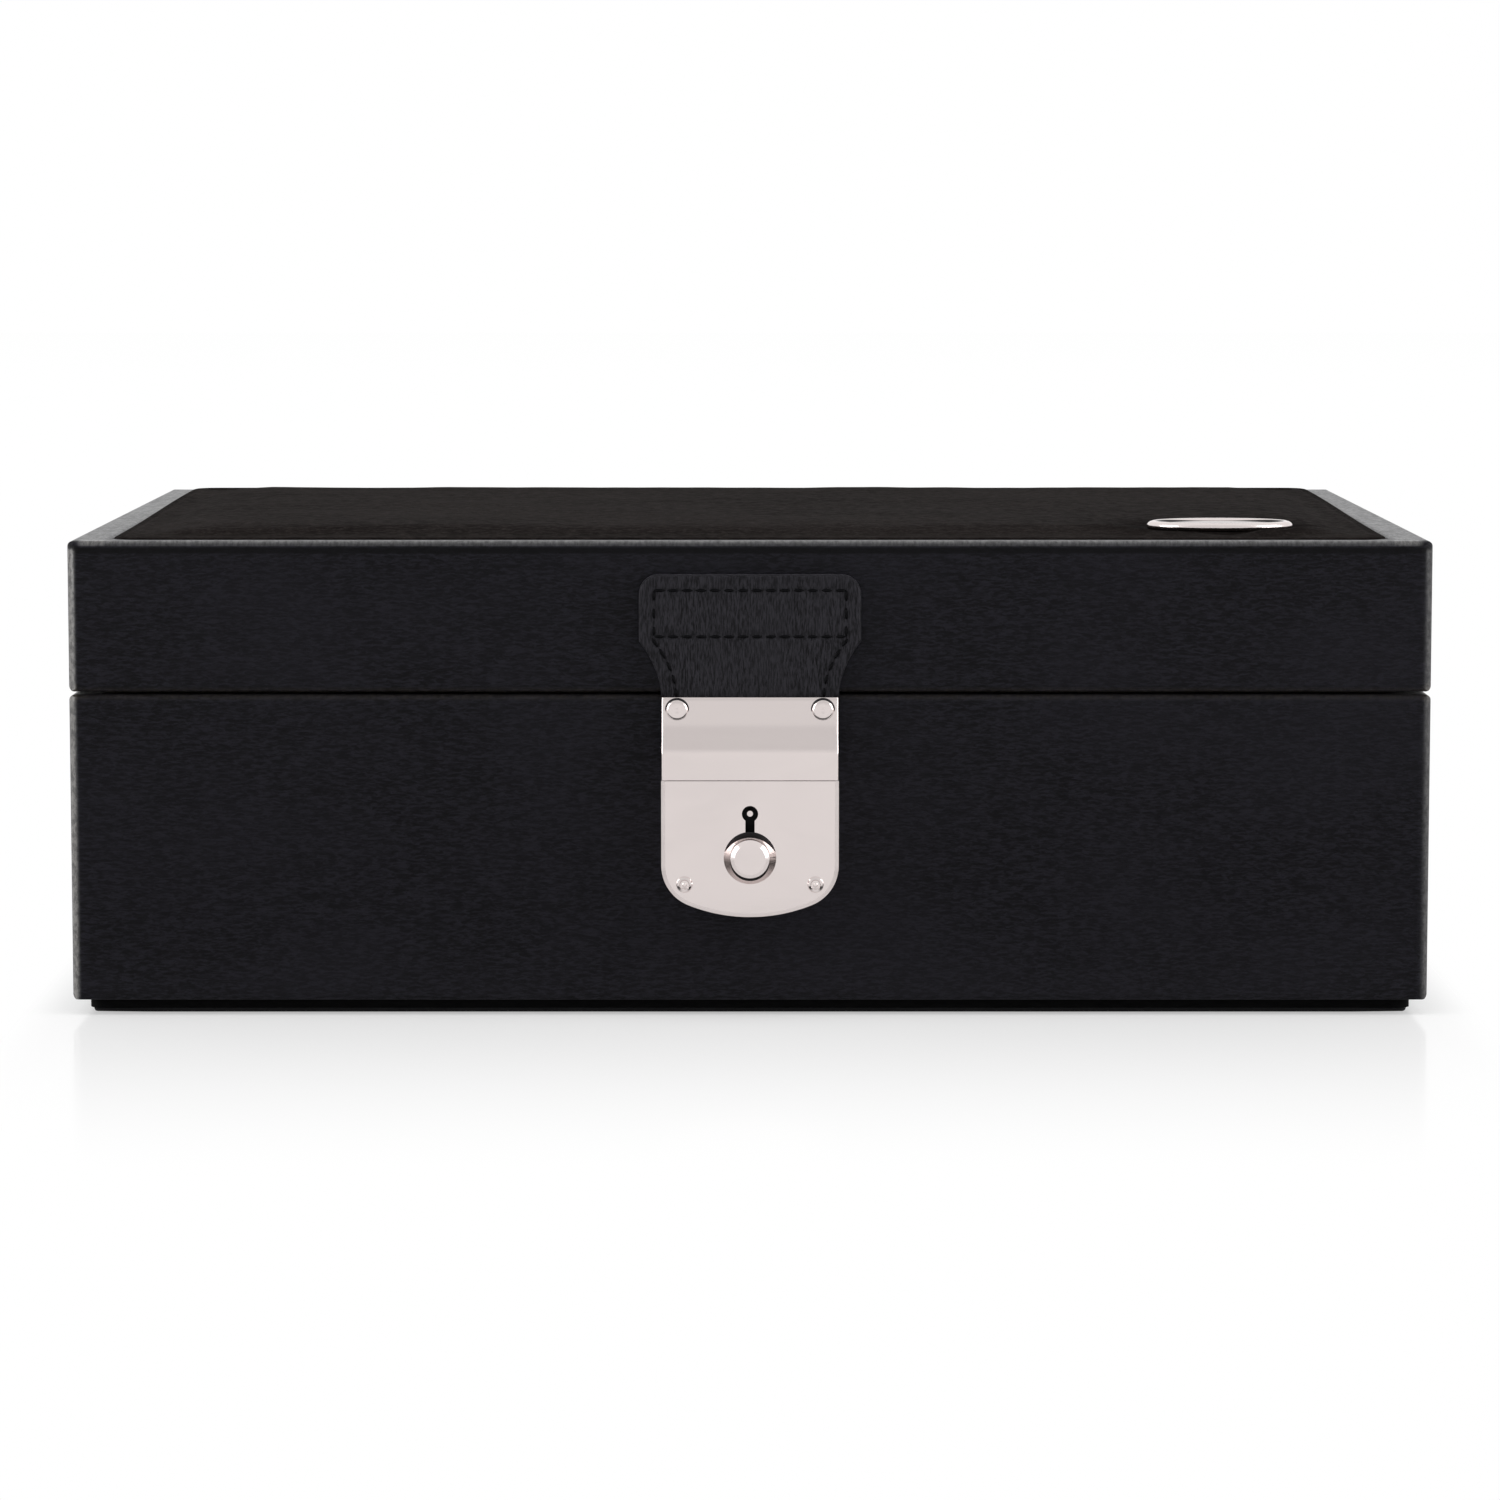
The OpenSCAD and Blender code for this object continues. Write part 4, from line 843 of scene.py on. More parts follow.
class PadShape:
    """The lid pad's crown, in millimetres, with its dent round the badge."""

    def __init__(self, sizes):
        low, high = box_mm("lid_top_pad")
        self.half_w, self.half_d = high.x, high.y
        self.base, self.top = low.z, high.z
        self.shoulder = sizes.pad_shoulder / MM
        self.edge = self.top - 3.0
        self.rim = box_mm("lid_leather")[1].z
        self.lip, self.front_lip = sizes.pad_overhang / MM, sizes.pad_front_overhang / MM
        plate_low, plate_high = box_mm("badge_plate")
        self.middle = ((plate_low.x + plate_high.x) / 2, (plate_low.y + plate_high.y) / 2)
        self.badge = ((plate_high.x - plate_low.x) / 2, (plate_high.y - plate_low.y) / 2)
        self.badge_base = plate_high.z - BADGE_HEIGHT
        self.dent = sizes.badge_dent / MM

    def ceiling(self, x, y):
        """Height of the finished crown."""
        inside = inset(x, y, self.half_w, self.half_d)
        return self.edge + (self.top - self.edge) * quarter(inside, self.shoulder)

    def start(self, x, y):
        """A little lower and softer than the crown, so that it can swell."""
        along = quarter(self.half_w - abs(x), self.shoulder)
        across = quarter(self.half_d - abs(y), self.shoulder)
        return self.edge - 0.9 + (self.top - self.edge - 0.6) * along * across

    def from_badge(self, x, y):
        """Distance out from the badge's edge, and the angle there."""
        u, v = (x - self.middle[0]) / self.badge[0], (y - self.middle[1]) / self.badge[1]
        return (math.hypot(u, v) - 1) * (self.badge[0] + self.badge[1]) / 2, math.atan2(v, u)

    def settled(self, x, y, z):
        """Pulls the cover down round the badge, with tucks that fan out from it and a roll in front."""
        away, angle = self.from_badge(x, y)
        if away > 45:
            return z
        floor = self.badge_base - 0.15
        if away < 0:
            return min(z, floor)
        sag = self.dent * math.exp(-away / 7.0)
        tucks = 0.3 * bell(away - 3.5, 5.0) * math.cos(11 * angle + 0.8 * math.sin(2 * angle))
        below = max(0.0, 0.55 - math.sin(angle)) / 1.55
        roll = 1.2 * below * (bell(away - 8.5, 2.2) - 0.8 * bell(away - 4.5, 2.0))
        return floor + (z - sag + tucks + roll - floor) * ease(away / 4.0)


def stuffed(source, shape, cap):
    """Remeshes a closed form, blows it up as cloth pinned along its base, and caps the swelling."""
    frames = 20
    modifier = source.modifiers.new("even", "REMESH")
    modifier.mode, modifier.voxel_size = "VOXEL", 4.5 * MM
    source = plain_mesh(source.name, source)
    rest = [v.co.copy() for v in source.data.vertices]
    held = source.vertex_groups.new(name="held")
    pinned = [v.index for v in source.data.vertices if v.co.z < (shape.base + 2.5) * MM]
    held.add(pinned, 1.0, "REPLACE")
    cloth = source.modifiers.new("cover", "CLOTH")
    cloth.settings.quality = 5
    cloth.settings.mass = 0.35
    cloth.settings.tension_stiffness = 12
    cloth.settings.bending_stiffness = 0.6
    cloth.settings.use_pressure = True
    cloth.settings.uniform_pressure_force = 4.0
    cloth.settings.vertex_group_mass = "held"
    cloth.settings.effector_weights.gravity = 0
    cloth.point_cache.frame_start, cloth.point_cache.frame_end = 1, frames
    for step in range(1, frames + 1):
        bpy.context.scene.frame_set(step)
    source = plain_mesh(source.name, source)
    bpy.context.scene.frame_set(1)
    for vertex, old in zip(source.data.vertices, rest):
        move = vertex.co - old
        if move.length > cap * MM:
            vertex.co = old + move.normalized() * cap * MM
    refine = source.modifiers.new("refine", "SUBSURF")
    refine.levels = refine.render_levels = 1
    return plain_mesh(source.name, source)


def make_pad_mesh(shape, materials):
    """Lays a fine mesh over the stuffed form, with an edge that rolls over the rim."""
    core_w, core_d = shape.half_w - 0.8, shape.half_d - 0.8
    xs, ys = (spread(half, [0, 1.0, 2.2, 4.0], 6.0) for half in (core_w, core_d))

    def points(i, j):
        top = shape.start(xs[i], ys[j])
        x, y = in_corner(xs[i], ys[j], core_w, core_d, 3.0)
        return [Vector((x, y, z)) * MM for z in (top, shape.base)]

    core = stuffed(link("pad_core", slab_mesh("pad_core", len(xs), len(ys), points), []), shape, cap=6.0)
    surface = BVHTree.FromPolygons([vertex.co / MM for vertex in core.data.vertices],
                                   [face.vertices for face in core.data.polygons])
    bpy.data.objects.remove(core)
    edges = [0, 0.06, 0.2, 0.45, 0.8, 1.3, 2.0, 3.0, 4.5, 6.5]
    wide, deep = shape.half_w + shape.lip, shape.half_d + shape.front_lip
    columns, rows = spread(wide, edges, 3.0), spread(deep, edges, 3.0)
    seat, roll_width = shape.rim + 0.04, 1.3
    # The sides are drawn in at the front and spread towards the hinge; the back edge stands a little higher.
    drawn_in, spreading, back_rise = 1.5, 2.3, 0.25

    def crown(x, y, inside):
        hit = surface.ray_cast(Vector((x, y, 200)), Vector((0, 0, -1)))[0]
        ceiling = shape.ceiling(x, y)
        swell = hit.z if hit and hit.z > shape.base + 4 else ceiling
        z = ceiling + (0.3 * min(max(swell - ceiling, -2.0), 0.6) - 0.6) * ease(inside / 8)
        z += 0.25 * noise.noise(Vector((x / 34, y / 21, 0.4))) + 0.1 * noise.noise(Vector((x / 9, y / 7, 2)))
        return shape.settled(x, y, max(z, shape.rim + 0.1))

    def cover(i, j):
        x, y = columns[i], rows[j]
        inside = inset(x, y, wide, deep)
        z = crown(x, y, inside)
        if inside < roll_width:
            z = seat + (max(z, shape.rim + 0.5) - seat) * quarter(inside, roll_width)
        low_x = min(max(x, -shape.half_w), shape.half_w)
        low_y = min(max(y, -shape.half_d), shape.half_d)
        x, y = in_corner(x, y, wide, deep, 6.0)
        low_x, low_y = in_corner(low_x, low_y, shape.half_w, shape.half_d, 3.0)
        back = ease(0.5 + y / deep / 2)
        x *= 1 + (spreading * back - drawn_in) / wide
        z += back_rise * back * bell(inside, 5)
        return [Vector((x, y, z)) * MM, Vector((low_x, low_y, shape.base)) * MM]

    return link("lid_pad", slab_mesh("lid_pad", len(columns), len(rows), cover), materials)


# ---------- badge ----------


def make_badge_mesh(shape):
    """Oval plate with a raised bead round a slightly domed field; it carries no mark."""
    profile = [(1.0, 0.0), (1.0, 0.9), (0.985, 1.25), (0.955, 1.55), (0.915, 1.72), (0.875, 1.6),
               (0.85, 1.3), (0.835, 1.08), (0.81, 1.02), (0.7, 1.12), (0.5, 1.25), (0.25, 1.33)]
    steps, summit = 96, 1.36
    (middle_x, middle_y), (half_x, half_y) = shape.middle, shape.badge
    bm = bmesh.new()

    def point(scale, rise, angle):
        x = half_x * scale * math.cos(angle) + middle_x
        y = (half_y - min((1 - scale) * half_x, half_y * (1 - scale * 0.999))) * math.sin(angle) + middle_y
        return bm.verts.new(Vector((x, y, shape.badge_base + rise)) * MM)

    angles = [2 * math.pi * k / steps for k in range(steps)]
    rings = [[point(scale, rise, angle) for angle in angles] for scale, rise in profile]
    skin(bm, rings)
    for ring, rise in ((rings[-1], summit), (rings[0], 0.0)):
        centre = bm.verts.new(Vector((middle_x, middle_y, shape.badge_base + rise)) * MM)
        for k in range(steps):
            bm.faces.new((ring[k], ring[(k + 1) % steps], centre))
    return solid_mesh("badge", bm)


# ---------- sizes and colours ----------


def colour_property(name, description, default):
    return FloatVectorProperty(name=name, description=description, subtype="COLOR", size=3, min=0, max=1,
                               default=default)


def length_property(name, description, default, low, high):
    """A length whose default and limits are given in millimetres."""
    return FloatProperty(name=name, description=description, default=default * MM, min=low * MM,
                         max=high * MM, unit="LENGTH")


def share_property(name, description, default, low=0.0, high=1.0):
    return FloatProperty(name=name, description=description, default=default, min=low, max=high,
                         subtype="FACTOR")


def light_property(name, description, default):
    return FloatProperty(name=name, description=description, default=default, min=0)


class CashBoxLeather(bpy.types.PropertyGroup):
    """Colours and sizes of the leather parts"""

    cover_colour: colour_property("Cover", "Colour of the case's and lid's leather", (0.0066, 0.0063, 0.0088))
    strap_colour: colour_property("Strap", "Colour of the strap", (0.0138, 0.0131, 0.0158))
    pad_colour: colour_property("Pad", "Colour of the padded panel", (0.0106, 0.0087, 0.0081))
    thread_colour: colour_property("Thread", "Colour of the stitching", (0.0025, 0.0025, 0.003))
    grain: length_property("Grain", "Size of the leather's creases", 0.5, 0.2, 4)
    leather_gloss: share_property("Gloss", "How strongly the leather reflects", 0.085)
    neck_width: length_property("Neck", "Width of the strap where the hasp begins", 39.5, 30, 49)
    stitch_inset: length_property("Stitch inset", "Distance of the stitches from the edge", 3.35, 2, 6)
    stitch_pitch: length_property("Stitch pitch", "Distance between stitches", 2.9, 1.5, 6)
    pad_shoulder: length_property("Pad shoulder", "Width over which the pad rises", 26, 8, 60)
    pad_overhang: length_property("Pad overhang", "How far the pad's sides reach, before they are drawn in",
                                  0.8, 0, 2)
    pad_front_overhang: length_property("Pad overhang, front", "How far the pad's front and back reach",
                                        3.6, 0, 6)
    badge_dent: length_property("Badge dent", "Depth that the badge pulls the pad down", 1.5, 0, 3)


class CashBoxMetal(bpy.types.PropertyGroup):
    """Colours of the metal parts"""

    nickel_colour: colour_property("Nickel", "Colour of the lock and hasp", (0.72, 0.65, 0.635))
    hinge_colour: colour_property("Hinges", "Colour of the hinges", (0.62, 0.59, 0.56))
    steel_colour: colour_property("Steel", "Colour of the lock's inner parts", (0.5, 0.5, 0.5))
    parting_round: length_property("Parting edge", "Rounding of the hasp's lower edge", 0.12, 0, 0.5)
    polish: share_property("Roughness", "Roughness of the polished nickel", 0.14, 0.02, 0.6)


class CashBoxInside(bpy.types.PropertyGroup):
    """Colours of the inside and of the boards"""

    suede_colour: colour_property("Suede", "Colour of the lining", (0.135, 0.095, 0.07))
    tray_colour: colour_property("Tray", "Colour of the tray's covering", (0.075, 0.052, 0.04))
    felt_colour: colour_property("Felt", "Colour of the felt", (0.012, 0.012, 0.013))
    board_colour: colour_property("Board", "Colour of the wall boards", (0.42, 0.27, 0.14))


class CashBoxStage(bpy.types.PropertyGroup):
    """Floor and light"""

    floor_colour: colour_property("Floor", "Colour of the floor", (0.93, 0.93, 0.93))
    side_light: light_property("Side lights", "Power of each side softbox in watts", 9)
    top_light: light_property("Top light", "Power of the overhead softbox in watts", 5)
    sky: light_property("Room light", "Strength of the light from all round", 0.4)


# ---------- operators ----------


def fit(made, body, slot, *stands_for):
    """Puts a piece on its body, with the CAD nodes that it stands for; the slot is not used."""
    if stands_for:
        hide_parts(*stands_for)
    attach(made, body)


class CASHBOX_OT_finishes(bpy.types.Operator):
    """Makes the finishes and gives every rigid part its own"""

    bl_idname = "cashbox.finishes"
    bl_label = "Finishes"

    def execute(self, context):
        scene = context.scene
        leather, metal, inside = scene.cash_leather, scene.cash_metal, scene.cash_inside
        FINISHES.update({
            "cover_leather": cover_leather(leather),
            "strap_leather": strap_leather(leather),
            "strap_edge": edge_paint(leather),
            "pad_leather": pad_leather(leather),
            "thread": thread(leather),
            "polished_nickel": nickel("nickel, polished", tuple(metal.nickel_colour), metal.polish, 0.006),
            "hinge_nickel": nickel("nickel, satin", tuple(metal.hinge_colour), 0.26, 0.012),
            "lock_steel": nickel("steel, bright", tuple(metal.steel_colour), 0.3, 0.02),
            # Dark steel for the lock's backplate, and for the dark pieces of painted shade and painted
            # shadow.
            "dark_steel": nickel("steel, dark", (0.03, 0.029, 0.03), 0.45, 0.02),
            "suede_lining": napped("suede", tuple(inside.suede_colour), 0.6, 0.35),
            "tray_covering": napped("suede paper", tuple(inside.tray_colour), 0.4, 0.2),
            "felt": napped("felt, black", tuple(inside.felt_colour), 0.8, 0.15),
            "board": fibreboard("board", tuple(inside.board_colour)),
            "black_board": fibreboard("board, black", (0.0022, 0.0022, 0.0024), 0.04),
        })
        for node in NODES.values():
            for slot in node.material_slots:
                wanted = slot.material.name.split(".")[0]
                if wanted not in FINISHES:
                    raise RuntimeError(f"no finish for {wanted} of {node.name}")
                slot.material = FINISHES[wanted]
        for slot in NODES["lock_backplate"].material_slots:
            slot.material = FINISHES["dark_steel"]
        return {"FINISHED"}


class CASHBOX_OT_strap(bpy.types.Operator):
    """Makes the strap, its painted edges and its stitches"""

    bl_idname = "cashbox.strap"
    bl_label = "Strap"

    def execute(self, context):
        sizes = context.scene.cash_leather
        shape = StrapShape(sizes)
        strap = link("strap", make_strap_mesh(shape), [FINISHES["strap_leather"], FINISHES["strap_edge"]])
        stitches = sewn("strap_stitches", strap_stitch_paths(shape), sizes.stitch_pitch, 0.72, 3)
        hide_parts("strap_anchor", "strap_flap")
        # Two points in the middle of the loose strap's thickness, by the lower end of the sewn part; nothing
        # uses them.
        middle_y = FRONT_Y - 1.4 * MM
        start, end = ((0, middle_y, (shape.joint + z) * MM) for z in (0.1, -3.1))
        for made in (strap, stitches):
            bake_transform(made)
            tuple(start)
            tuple(end)
        return {"FINISHED"}


class CASHBOX_OT_hasp(bpy.types.Operator):
    """Makes the hasp plate with its smooth step over the lock"""

    bl_idname = "cashbox.hasp"
    bl_label = "Hasp plate"

    def execute(self, context):
        made = link("hasp_face", make_hasp_mesh(context.scene.cash_metal), [FINISHES["polished_nickel"]])
        fit(made, "hasp", "polished_nickel", "hasp_plate")
        return {"FINISHED"}


class CASHBOX_OT_rivets(bpy.types.Operator):
    """Makes the domed rivets of the hasp, each on a dark ring of painted shadow, and the flat ones of the
    lock
    """

    bl_idname = "cashbox.rivets"
    bl_label = "Rivets"

    def execute(self, context):
        low, high = box_mm("hasp_rivets")
        radius, plate_out, height = 2.4, 4.3, (low.z + high.z) / 2
        apart = high.x - low.x - 2 * radius
        caps = self.row("hasp_rivets_caps", apart, plate_out, height, radius, 1.0, "polished_nickel")
        fit(caps, "hasp", "polished_nickel", "hasp_rivets")
        # Painted shadow: a flat dark ring under each dome stands for the shadow round it.
        shadow_rings = self.row("hasp_rivets_shadow_rings", apart, plate_out, height + 0.05, radius + 0.3, 0.42,
                         "dark_steel")
        fit(shadow_rings, "hasp", "polished_nickel")
        low, high = box_mm("lock_rivets")
        radius = 1.8
        apart = high.x - low.x - 2 * radius
        caps = self.row("lock_rivets_caps", apart, LOCK_FACE, low.z + radius, radius, 0.4, "polished_nickel")
        fit(caps, "case", "polished_nickel")
        return {"FINISHED"}

    def row(self, name, apart, out, height, radius, dome, finish):
        """Two rivets, with lengths in millimetres; out is the distance from the leather."""
        return rivet_pattern().run(name, bpy.data.meshes.new(name), {
            "Spread": apart * MM, "Radius": radius * MM, "Dome": dome * MM, "Out": out * MM - FRONT_Y,
            "Height": height * MM, "Material": FINISHES[finish]})


def make_crescent_mesh(name, turn, reach, edge, width):
    """Thin dark sliver of painted shade on the slope round the button, widest at the angle turn; width goes
    out from edge.
    """
    steps, bands, depth, clearance = 48, 6, 0.8, 0.04
    rim = RING_RIM + clearance

    def shape(i, j):
        share = 2 * i / (steps - 1) - 1
        angle = math.radians(turn + reach * share)
        radius = edge + width * max(math.cos(share * math.pi / 2), 0.02) ** 0.7 * j / (bands - 1)
        out = LOCK_FACE - FRONT_Y / MM - depth * (rim - radius) / (rim - RING_HOLE)
        x, z = radius * math.sin(angle), BUTTON_Z + radius * math.cos(angle)
        return [Vector((x, -(out + lift), z)) * MM for lift in (0.035, -0.02)]

    return slab_mesh(name, steps, bands, shape)


class CASHBOX_OT_dish(bpy.types.Operator):
    """Makes the dark slivers of painted shade above and below the button, on the ring round it"""

    bl_idname = "cashbox.dish"
    bl_label = "Button ring"

    def execute(self, context):
        # Painted shade: the upper sliver stands for the dark gap above the button, the lower one for the
        # shade under its edge.
        for name, turn, reach, edge, width in (("dish_gap_shade", 0, 76, RING_RIM, RING_HOLE - RING_RIM),
                                               ("dish_shade", 180, 72, RING_HOLE, 0.75)):
            mesh = make_crescent_mesh(name, turn, reach, edge, width)
            fit(link(name, mesh, [FINISHES["dark_steel"]]), "case", "lock_steel")
        return {"FINISHED"}


def make_spring_mesh(low, high):
    """Coil of round wire that fills the box from low to high, with its axis along y."""
    wire, turns, steps, sides = 0.3 * MM, 4, 24, 8
    middle, radius = (low + high) / 2, (high.x - low.x) / 2 - wire
    start, end = low.y + wire, high.y - wire
    bm = bmesh.new()

    def point(k, side):
        around, tilt = 2 * math.pi * k / steps, 2 * math.pi * side / sides
        out = radius + wire * math.cos(tilt)
        y = start + (end - start) * k / (turns * steps) + wire * math.sin(tilt)
        return bm.verts.new((middle.x + out * math.cos(around), y, middle.z + out * math.sin(around)))

    rings = [[point(k, side) for side in range(sides)] for k in range(turns * steps + 1)]
    skin(bm, rings)
    bm.faces.new(rings[0])
    bm.faces.new(rings[-1])
    return solid_mesh("button_coil", bm)


class CASHBOX_OT_spring(bpy.types.Operator):
    """Makes the button's spring"""

    bl_idname = "cashbox.spring"
    bl_label = "Button spring"

    def execute(self, context):
        low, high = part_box("button_spring")
        coil = link("button_coil", make_spring_mesh(low, high), [FINISHES["lock_steel"]])
        fit(coil, "case", "lock_steel", "button_spring")
        length = high.y - low.y
        (length - BUTTON_TRAVEL) / length
        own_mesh(coil)
        return {"FINISHED"}


class CASHBOX_OT_pad(bpy.types.Operator):
    """Makes the stuffed panel in the lid and the badge that sits on it"""

    bl_idname = "cashbox.pad"
    bl_label = "Lid pad and badge"

    def execute(self, context):
        shape = PadShape(context.scene.cash_leather)
        pad = make_pad_mesh(shape, [FINISHES["pad_leather"]])
        fit(pad, "lid", "pad_leather", "lid_top_pad")
        middle, half = ([v * MM for v in pair] for pair in (shape.middle, shape.badge))
        metal = badge_metal(middle, half, tuple(context.scene.cash_metal.nickel_colour))
        fit(link("badge", make_badge_mesh(shape), [metal]), "lid", "polished_nickel", "badge_plate")
        return {"FINISHED"}


class CASHBOX_OT_cushions(bpy.types.Operator):
    """Makes the thin cushions inside, the felts and the tray's pulls"""

    bl_idname = "cashbox.cushions"
    bl_label = "Cushions and felts"

    def execute(self, context):
        suede, felt = [FINISHES["suede_lining"]], [FINISHES["felt"]]
        for name, node, body, face, seams in (("lid_cushion", "lid_inner_pad", "lid", -1, (16.0,)),
                                              ("floor_cushion", "floor_pad", "case", 1, ())):
            low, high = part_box(node)
            made = soft_panel(name, low, high, suede, crown=0.35, face=face, seams=seams)
            fit(made, body, "suede_lining", node)
        low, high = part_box("base_felt")
        foot = soft_panel("foot_felt", low, high, felt, corner=4, edge=0.5, crown=0.0, face=-1, pitch=12)
        fit(foot, "case", "felt", "base_felt")
        self.tray_felts(felt)
        self.pulls(context.scene.cash_leather)
        return {"FINISHED"}

    def tray_felts(self, felt):
        """One felt in each cell of the tray: five in front of the long divider and two behind it."""
        low, high = box_mm("tray_felt")
        split, divider, gap = low.y + 76.0, 2.4, 0.6
        bm = bmesh.new()
        for count, front, back in ((5, low.y, split - gap), (2, split + divider, high.y)):
            pitch = (high.x - low.x + divider + gap) / count
            for k in range(count):
                left = low.x + k * pitch
                corners = (left, front, low.z), (left + pitch - divider - gap, back, high.z)
                near, far = (Vector(corner) * MM for corner in corners)
                cell = soft_panel("cell", near, far, [], corner=1.5, edge=0.5, crown=0.1, pitch=6)
                bm.from_mesh(cell.data)
                bpy.data.objects.remove(cell)
        fit(link("tray_felts", solid_mesh("tray_felts", bm), felt), "tray", "felt", "tray_felt")

    def pulls(self, sizes):
        """Two leather tabs with round upper corners, each with a row of stitches round it."""
        low, high = box_mm("tray_pulls")
        half, middle, thick, corner = (high.y - low.y) / 2, (low.y + high.y) / 2, 1.6, 4.0
        inner, rounding = high.x - thick, 0.45
        rows = [high.z - d for d in (0, 0.1, 0.3, 0.6, 1.0, 1.6, 2.3, 3.1, 4.0, 5, 7, 9, 11, 13)] + [low.z]
        edges = [0, 0.1, 0.25, 0.5, 0.9, 1.6, 2.2, 3.0]
        columns = [-half + e for e in edges] + [-3, 0, 3] + [half - e for e in reversed(edges)]
        for name, side in (("pull_left", -1), ("pull_right", 1)):

            def shape(i, j, side=side):
                z = rows[j]
                fall = max(z - (high.z - corner), 0)
                reach = half - corner + math.sqrt(max(corner ** 2 - fall * fall, 0))
                y = columns[i] * reach / half
                away = min(reach - abs(y), high.z - z)
                face = inner + rounding * (1 - quarter(away, rounding))
                return [Vector((side * x * MM, (middle + y) * MM, z * MM)) for x in (face, high.x - 0.02)]

            made = link(name, slab_mesh(name, len(columns), len(rows), shape, 1),
                        [FINISHES["strap_leather"], FINISHES["strap_edge"]])
            fit(made, "tray", "strap_leather", *(["tray_pulls"] if side < 0 else []))
            x, cut = side * (inner - 0.05), 1.5
            y0, y1, z0, z1 = middle - half + 2.4, middle + half - 2.4, low.z + 3, high.z - 2.4
            path = [(x, y0, z0), (x, y0, z1 - cut), (x, y0 + cut, z1), (x, y1 - cut, z1), (x, y1, z1 - cut),
                    (x, y1, z0)]
            stitches = sewn(name + "_stitches", [path], sizes.stitch_pitch, 0.55, 5)
            fit(stitches, "tray", "strap_leather")


class CASHBOX_OT_screws(bpy.types.Operator):
    """Makes the cross-head screws of the two hinges"""

    bl_idname = "cashbox.screws"
    bl_label = "Hinge screws"

    def execute(self, context):
        pattern = screw_pattern()
        pitch, radius, sunk = 14 * MM, 1.7 * MM, 0.45 * MM
        for node, body, face in (("hinge_case_screws", "case", 1.0), ("hinge_lid_screws", "lid", -1.0)):
            low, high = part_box(node)
            outer = high.z if face > 0 else low.z
            for side in ("left", "right"):
                leaf_low, leaf_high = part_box("hinge_case_leaf_" + side)
                middle = ((leaf_low.x + leaf_high.x) / 2, (low.y + high.y) / 2, outer - face * sunk)
                name = f"{node}_{side}"
                made = pattern.run(name, bpy.data.meshes.new(name), {
                    "Count": 3, "Pitch": pitch, "Radius": radius, "Middle": middle, "Face": face,
                    "Material": FINISHES["hinge_nickel"]})
                fit(made, body, "hinge_nickel", *([node] if side == "left" else []))
        return {"FINISHED"}


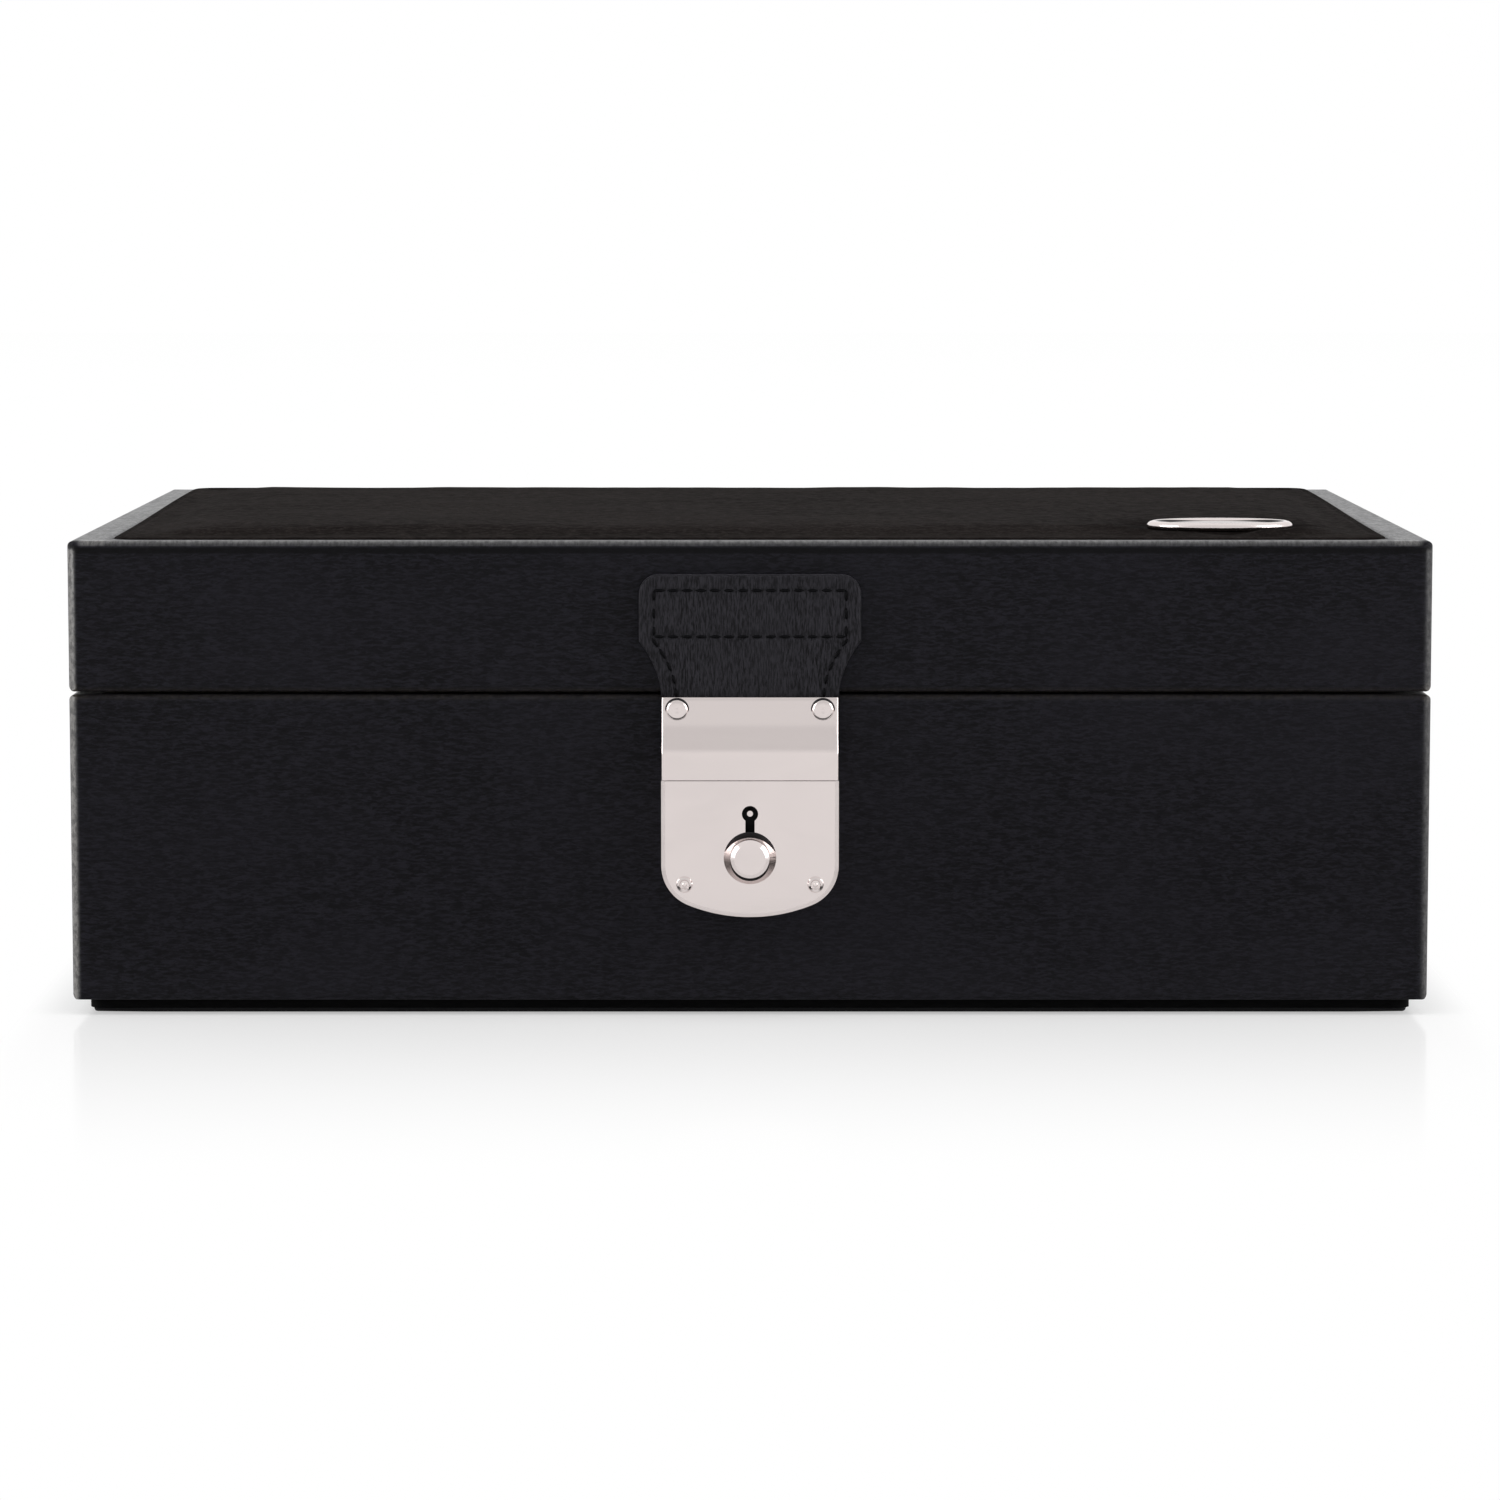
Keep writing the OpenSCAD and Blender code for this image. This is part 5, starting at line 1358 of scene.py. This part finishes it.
class CASHBOX_OT_stage(bpy.types.Operator):
    """Makes the floor, the lights and the camera"""

    bl_idname = "cashbox.stage"
    bl_label = "Stage"

    def execute(self, context):
        stage, scene = context.scene.cash_stage, context.scene
        self.floor(stage)
        self.world(scene, stage)
        for side in (-1, 1):
            place = (side * 1.15, -0.42, 0.5)
            self.softbox(f"side_light_{side}", place, (0, -0.05, 0.08), 0.7, 0.9, stage.side_light)
        overhead = self.softbox("top_light", (0.0, -0.35, 1.25), (0, 0, 0.1), 1.3, 0.9, stage.top_light)
        overhead.visible_glossy = False
        self.card("room_card", 1.6, -1.9, (0.35, 5.0), (0.94, 0.8))
        lens = bpy.data.cameras.new("camera")
        lens.lens, lens.sensor_width = 125.7, 36.0
        camera = placed("camera", lens)
        camera.location = (0.0, -1.263, 0.1811)
        camera.rotation_euler = (math.radians(90 - 5.985), 0, 0)
        scene.camera = camera
        scene.view_settings.view_transform = "Standard"
        return {"FINISHED"}

    def floor(self, stage):
        """A pale floor: white away from the box, shaded close to it, and faintly mirror-like in front."""
        size, colour = 6.0, tuple(stage.floor_colour)
        corners = [(-size, -size, 0), (size, -size, 0), (size, size, 0), (-size, size, 0)]
        f = Finish("floor", Specular_IOR_Level=0.1)
        f.feed("Base Color", f.blended(f.between(f.cloud(900), 0.3, 0.7), rgb(colour), rgb(colour, 1.03)))
        f.feed("Roughness", 0.7)
        # In millimetres: away from the box's sides, behind its back and in front of its front.
        outer = box_mm("lid_leather")[1]
        aside, behind, ahead = abs(f.x) / MM - outer.x, f.y / MM - outer.y, (FRONT_Y - f.y) / MM
        camera = f.node("ShaderNodeLightPath", output="Is Camera Ray")
        glossy = f.other(camera, "Is Glossy Ray")
        hidden = (1 - f.between(aside, -0.5, 13.5)) * (1 - f.between(behind, 0, 15))
        shaded = hidden * (1 - f.between(ahead, -5, 155))
        shine = f.between(ahead, 195, -5) * 0.14 * camera
        strip = f.between(ahead, 110, 85) * f.between(ahead, 41, 49) * f.between(aside, 48.5, 28.5)
        white = f.node("ShaderNodeEmission", None, {"Color": (1, 1, 1, 1), "Strength": 1.0})
        mirror = f.node("ShaderNodeBsdfGlossy", None, {"Color": (1, 1, 1, 1), "Roughness": 0.12})
        black = f.node("ShaderNodeEmission", None, {"Color": (0, 0, 0, 1), "Strength": 0.0})
        mixed = Wire(f, f.shader.outputs[0])
        clear = (1 - shaded * 0.5) * f.maths("MAXIMUM", camera, glossy)
        for share, layer in ((clear, white), (shine, mirror), (strip * glossy, black)):
            mixed = f.node("ShaderNodeMixShader", None, {0: share, 1: mixed, 2: layer})
        f.tree.links.new(mixed.socket, f.tree.nodes["Material Output"].inputs["Surface"])
        link("floor", quad_mesh("floor", corners), [f.material], smooth=False)

    def world(self, scene, stage):
        """White wherever it is seen, and dimmer where it only lights."""
        world = bpy.data.worlds.new("room")
        scene.world = world
        world.use_nodes = True
        t = Tree(world.node_tree)
        t.tree.nodes.clear()
        path = t.node("ShaderNodeLightPath", output="Is Camera Ray")
        shown = t.maths("MAXIMUM", path, t.other(path, "Is Glossy Ray"))
        shown = t.maths("MAXIMUM", shown, t.other(path, "Is Transmission Ray"))
        light = shown + (1 - shown) * stage.sky
        sky = t.node("ShaderNodeBackground", None, {"Color": (1, 1, 1, 1), "Strength": light})
        t.node("ShaderNodeOutputWorld", None, {"Surface": sky})

    def softbox(self, name, place, aim, width, height, power):
        data = bpy.data.lights.new(name, "AREA")
        data.shape, data.size, data.size_y, data.energy = "RECTANGLE", width, height, power
        lamp = placed(name, data)
        lamp.location = place
        lamp.rotation_mode = "QUATERNION"
        lamp.rotation_quaternion = (Vector(aim) - Vector(place)).to_track_quat("-Z", "Y")
        return lamp

    def card(self, name, half, y, heights, shades):
        """Upright glowing card that only reflections show; its shade changes over its lowest part."""
        (low, high), fade = heights, 0.95
        corners = [(-half, y, low), (half, y, low), (half, y, high), (-half, y, high)]
        below, above = (rgb((shade,) * 3) for shade in shades)
        f = Finish(name, Specular_IOR_Level=0.0)
        f.feed("Base Color", (0.0, 0.0, 0.0, 1.0))
        f.feed("Emission Color", f.blended(f.between(f.z, low, low + fade), below, above))
        f.feed("Emission Strength", 1.0)
        made = link(name, quad_mesh(name, corners), [f.material], smooth=False)
        made.visible_camera = made.visible_diffuse = made.visible_shadow = False
        made.visible_transmission = made.visible_volume_scatter = False


class CASHBOX_PT_panel(bpy.types.Panel):
    """Lists the sizes, the colours and the pieces"""

    bl_idname = "CASHBOX_PT_panel"
    bl_label = "Cash box"
    bl_space_type = "VIEW_3D"
    bl_region_type = "UI"
    bl_category = "Cash Box"

    def draw(self, context):
        for group in (context.scene.cash_leather, context.scene.cash_metal, context.scene.cash_inside,
                      context.scene.cash_stage):
            box = self.layout.box()
            for name in group.__annotations__:
                box.prop(group, name)
        for operator in STEPS:
            self.layout.operator(operator.bl_idname)


STEPS = (CASHBOX_OT_finishes, CASHBOX_OT_strap, CASHBOX_OT_hasp, CASHBOX_OT_rivets, CASHBOX_OT_dish,
         CASHBOX_OT_spring, CASHBOX_OT_pad, CASHBOX_OT_cushions, CASHBOX_OT_screws, CASHBOX_OT_stage)
GROUPS = {"cash_leather": CashBoxLeather, "cash_metal": CashBoxMetal, "cash_inside": CashBoxInside,
          "cash_stage": CashBoxStage}


def register():
    for name, group in GROUPS.items():
        bpy.utils.register_class(group)
        setattr(bpy.types.Scene, name, PointerProperty(type=group))
    for made in STEPS + (CASHBOX_PT_panel,):
        bpy.utils.register_class(made)


def unregister():
    for made in (CASHBOX_PT_panel,) + STEPS[::-1]:
        bpy.utils.unregister_class(made)
    for name, group in GROUPS.items():
        delattr(bpy.types.Scene, name)
        bpy.utils.unregister_class(group)


def main():
    register()
    bpy.ops.cashbox.finishes()
    bpy.ops.cashbox.strap()
    bpy.ops.cashbox.hasp()
    bpy.ops.cashbox.rivets()
    bpy.ops.cashbox.dish()
    bpy.ops.cashbox.spring()
    bpy.ops.cashbox.pad()
    bpy.ops.cashbox.cushions()
    bpy.ops.cashbox.screws()
    bpy.ops.cashbox.stage()


if __name__ == "__main__":
    main()
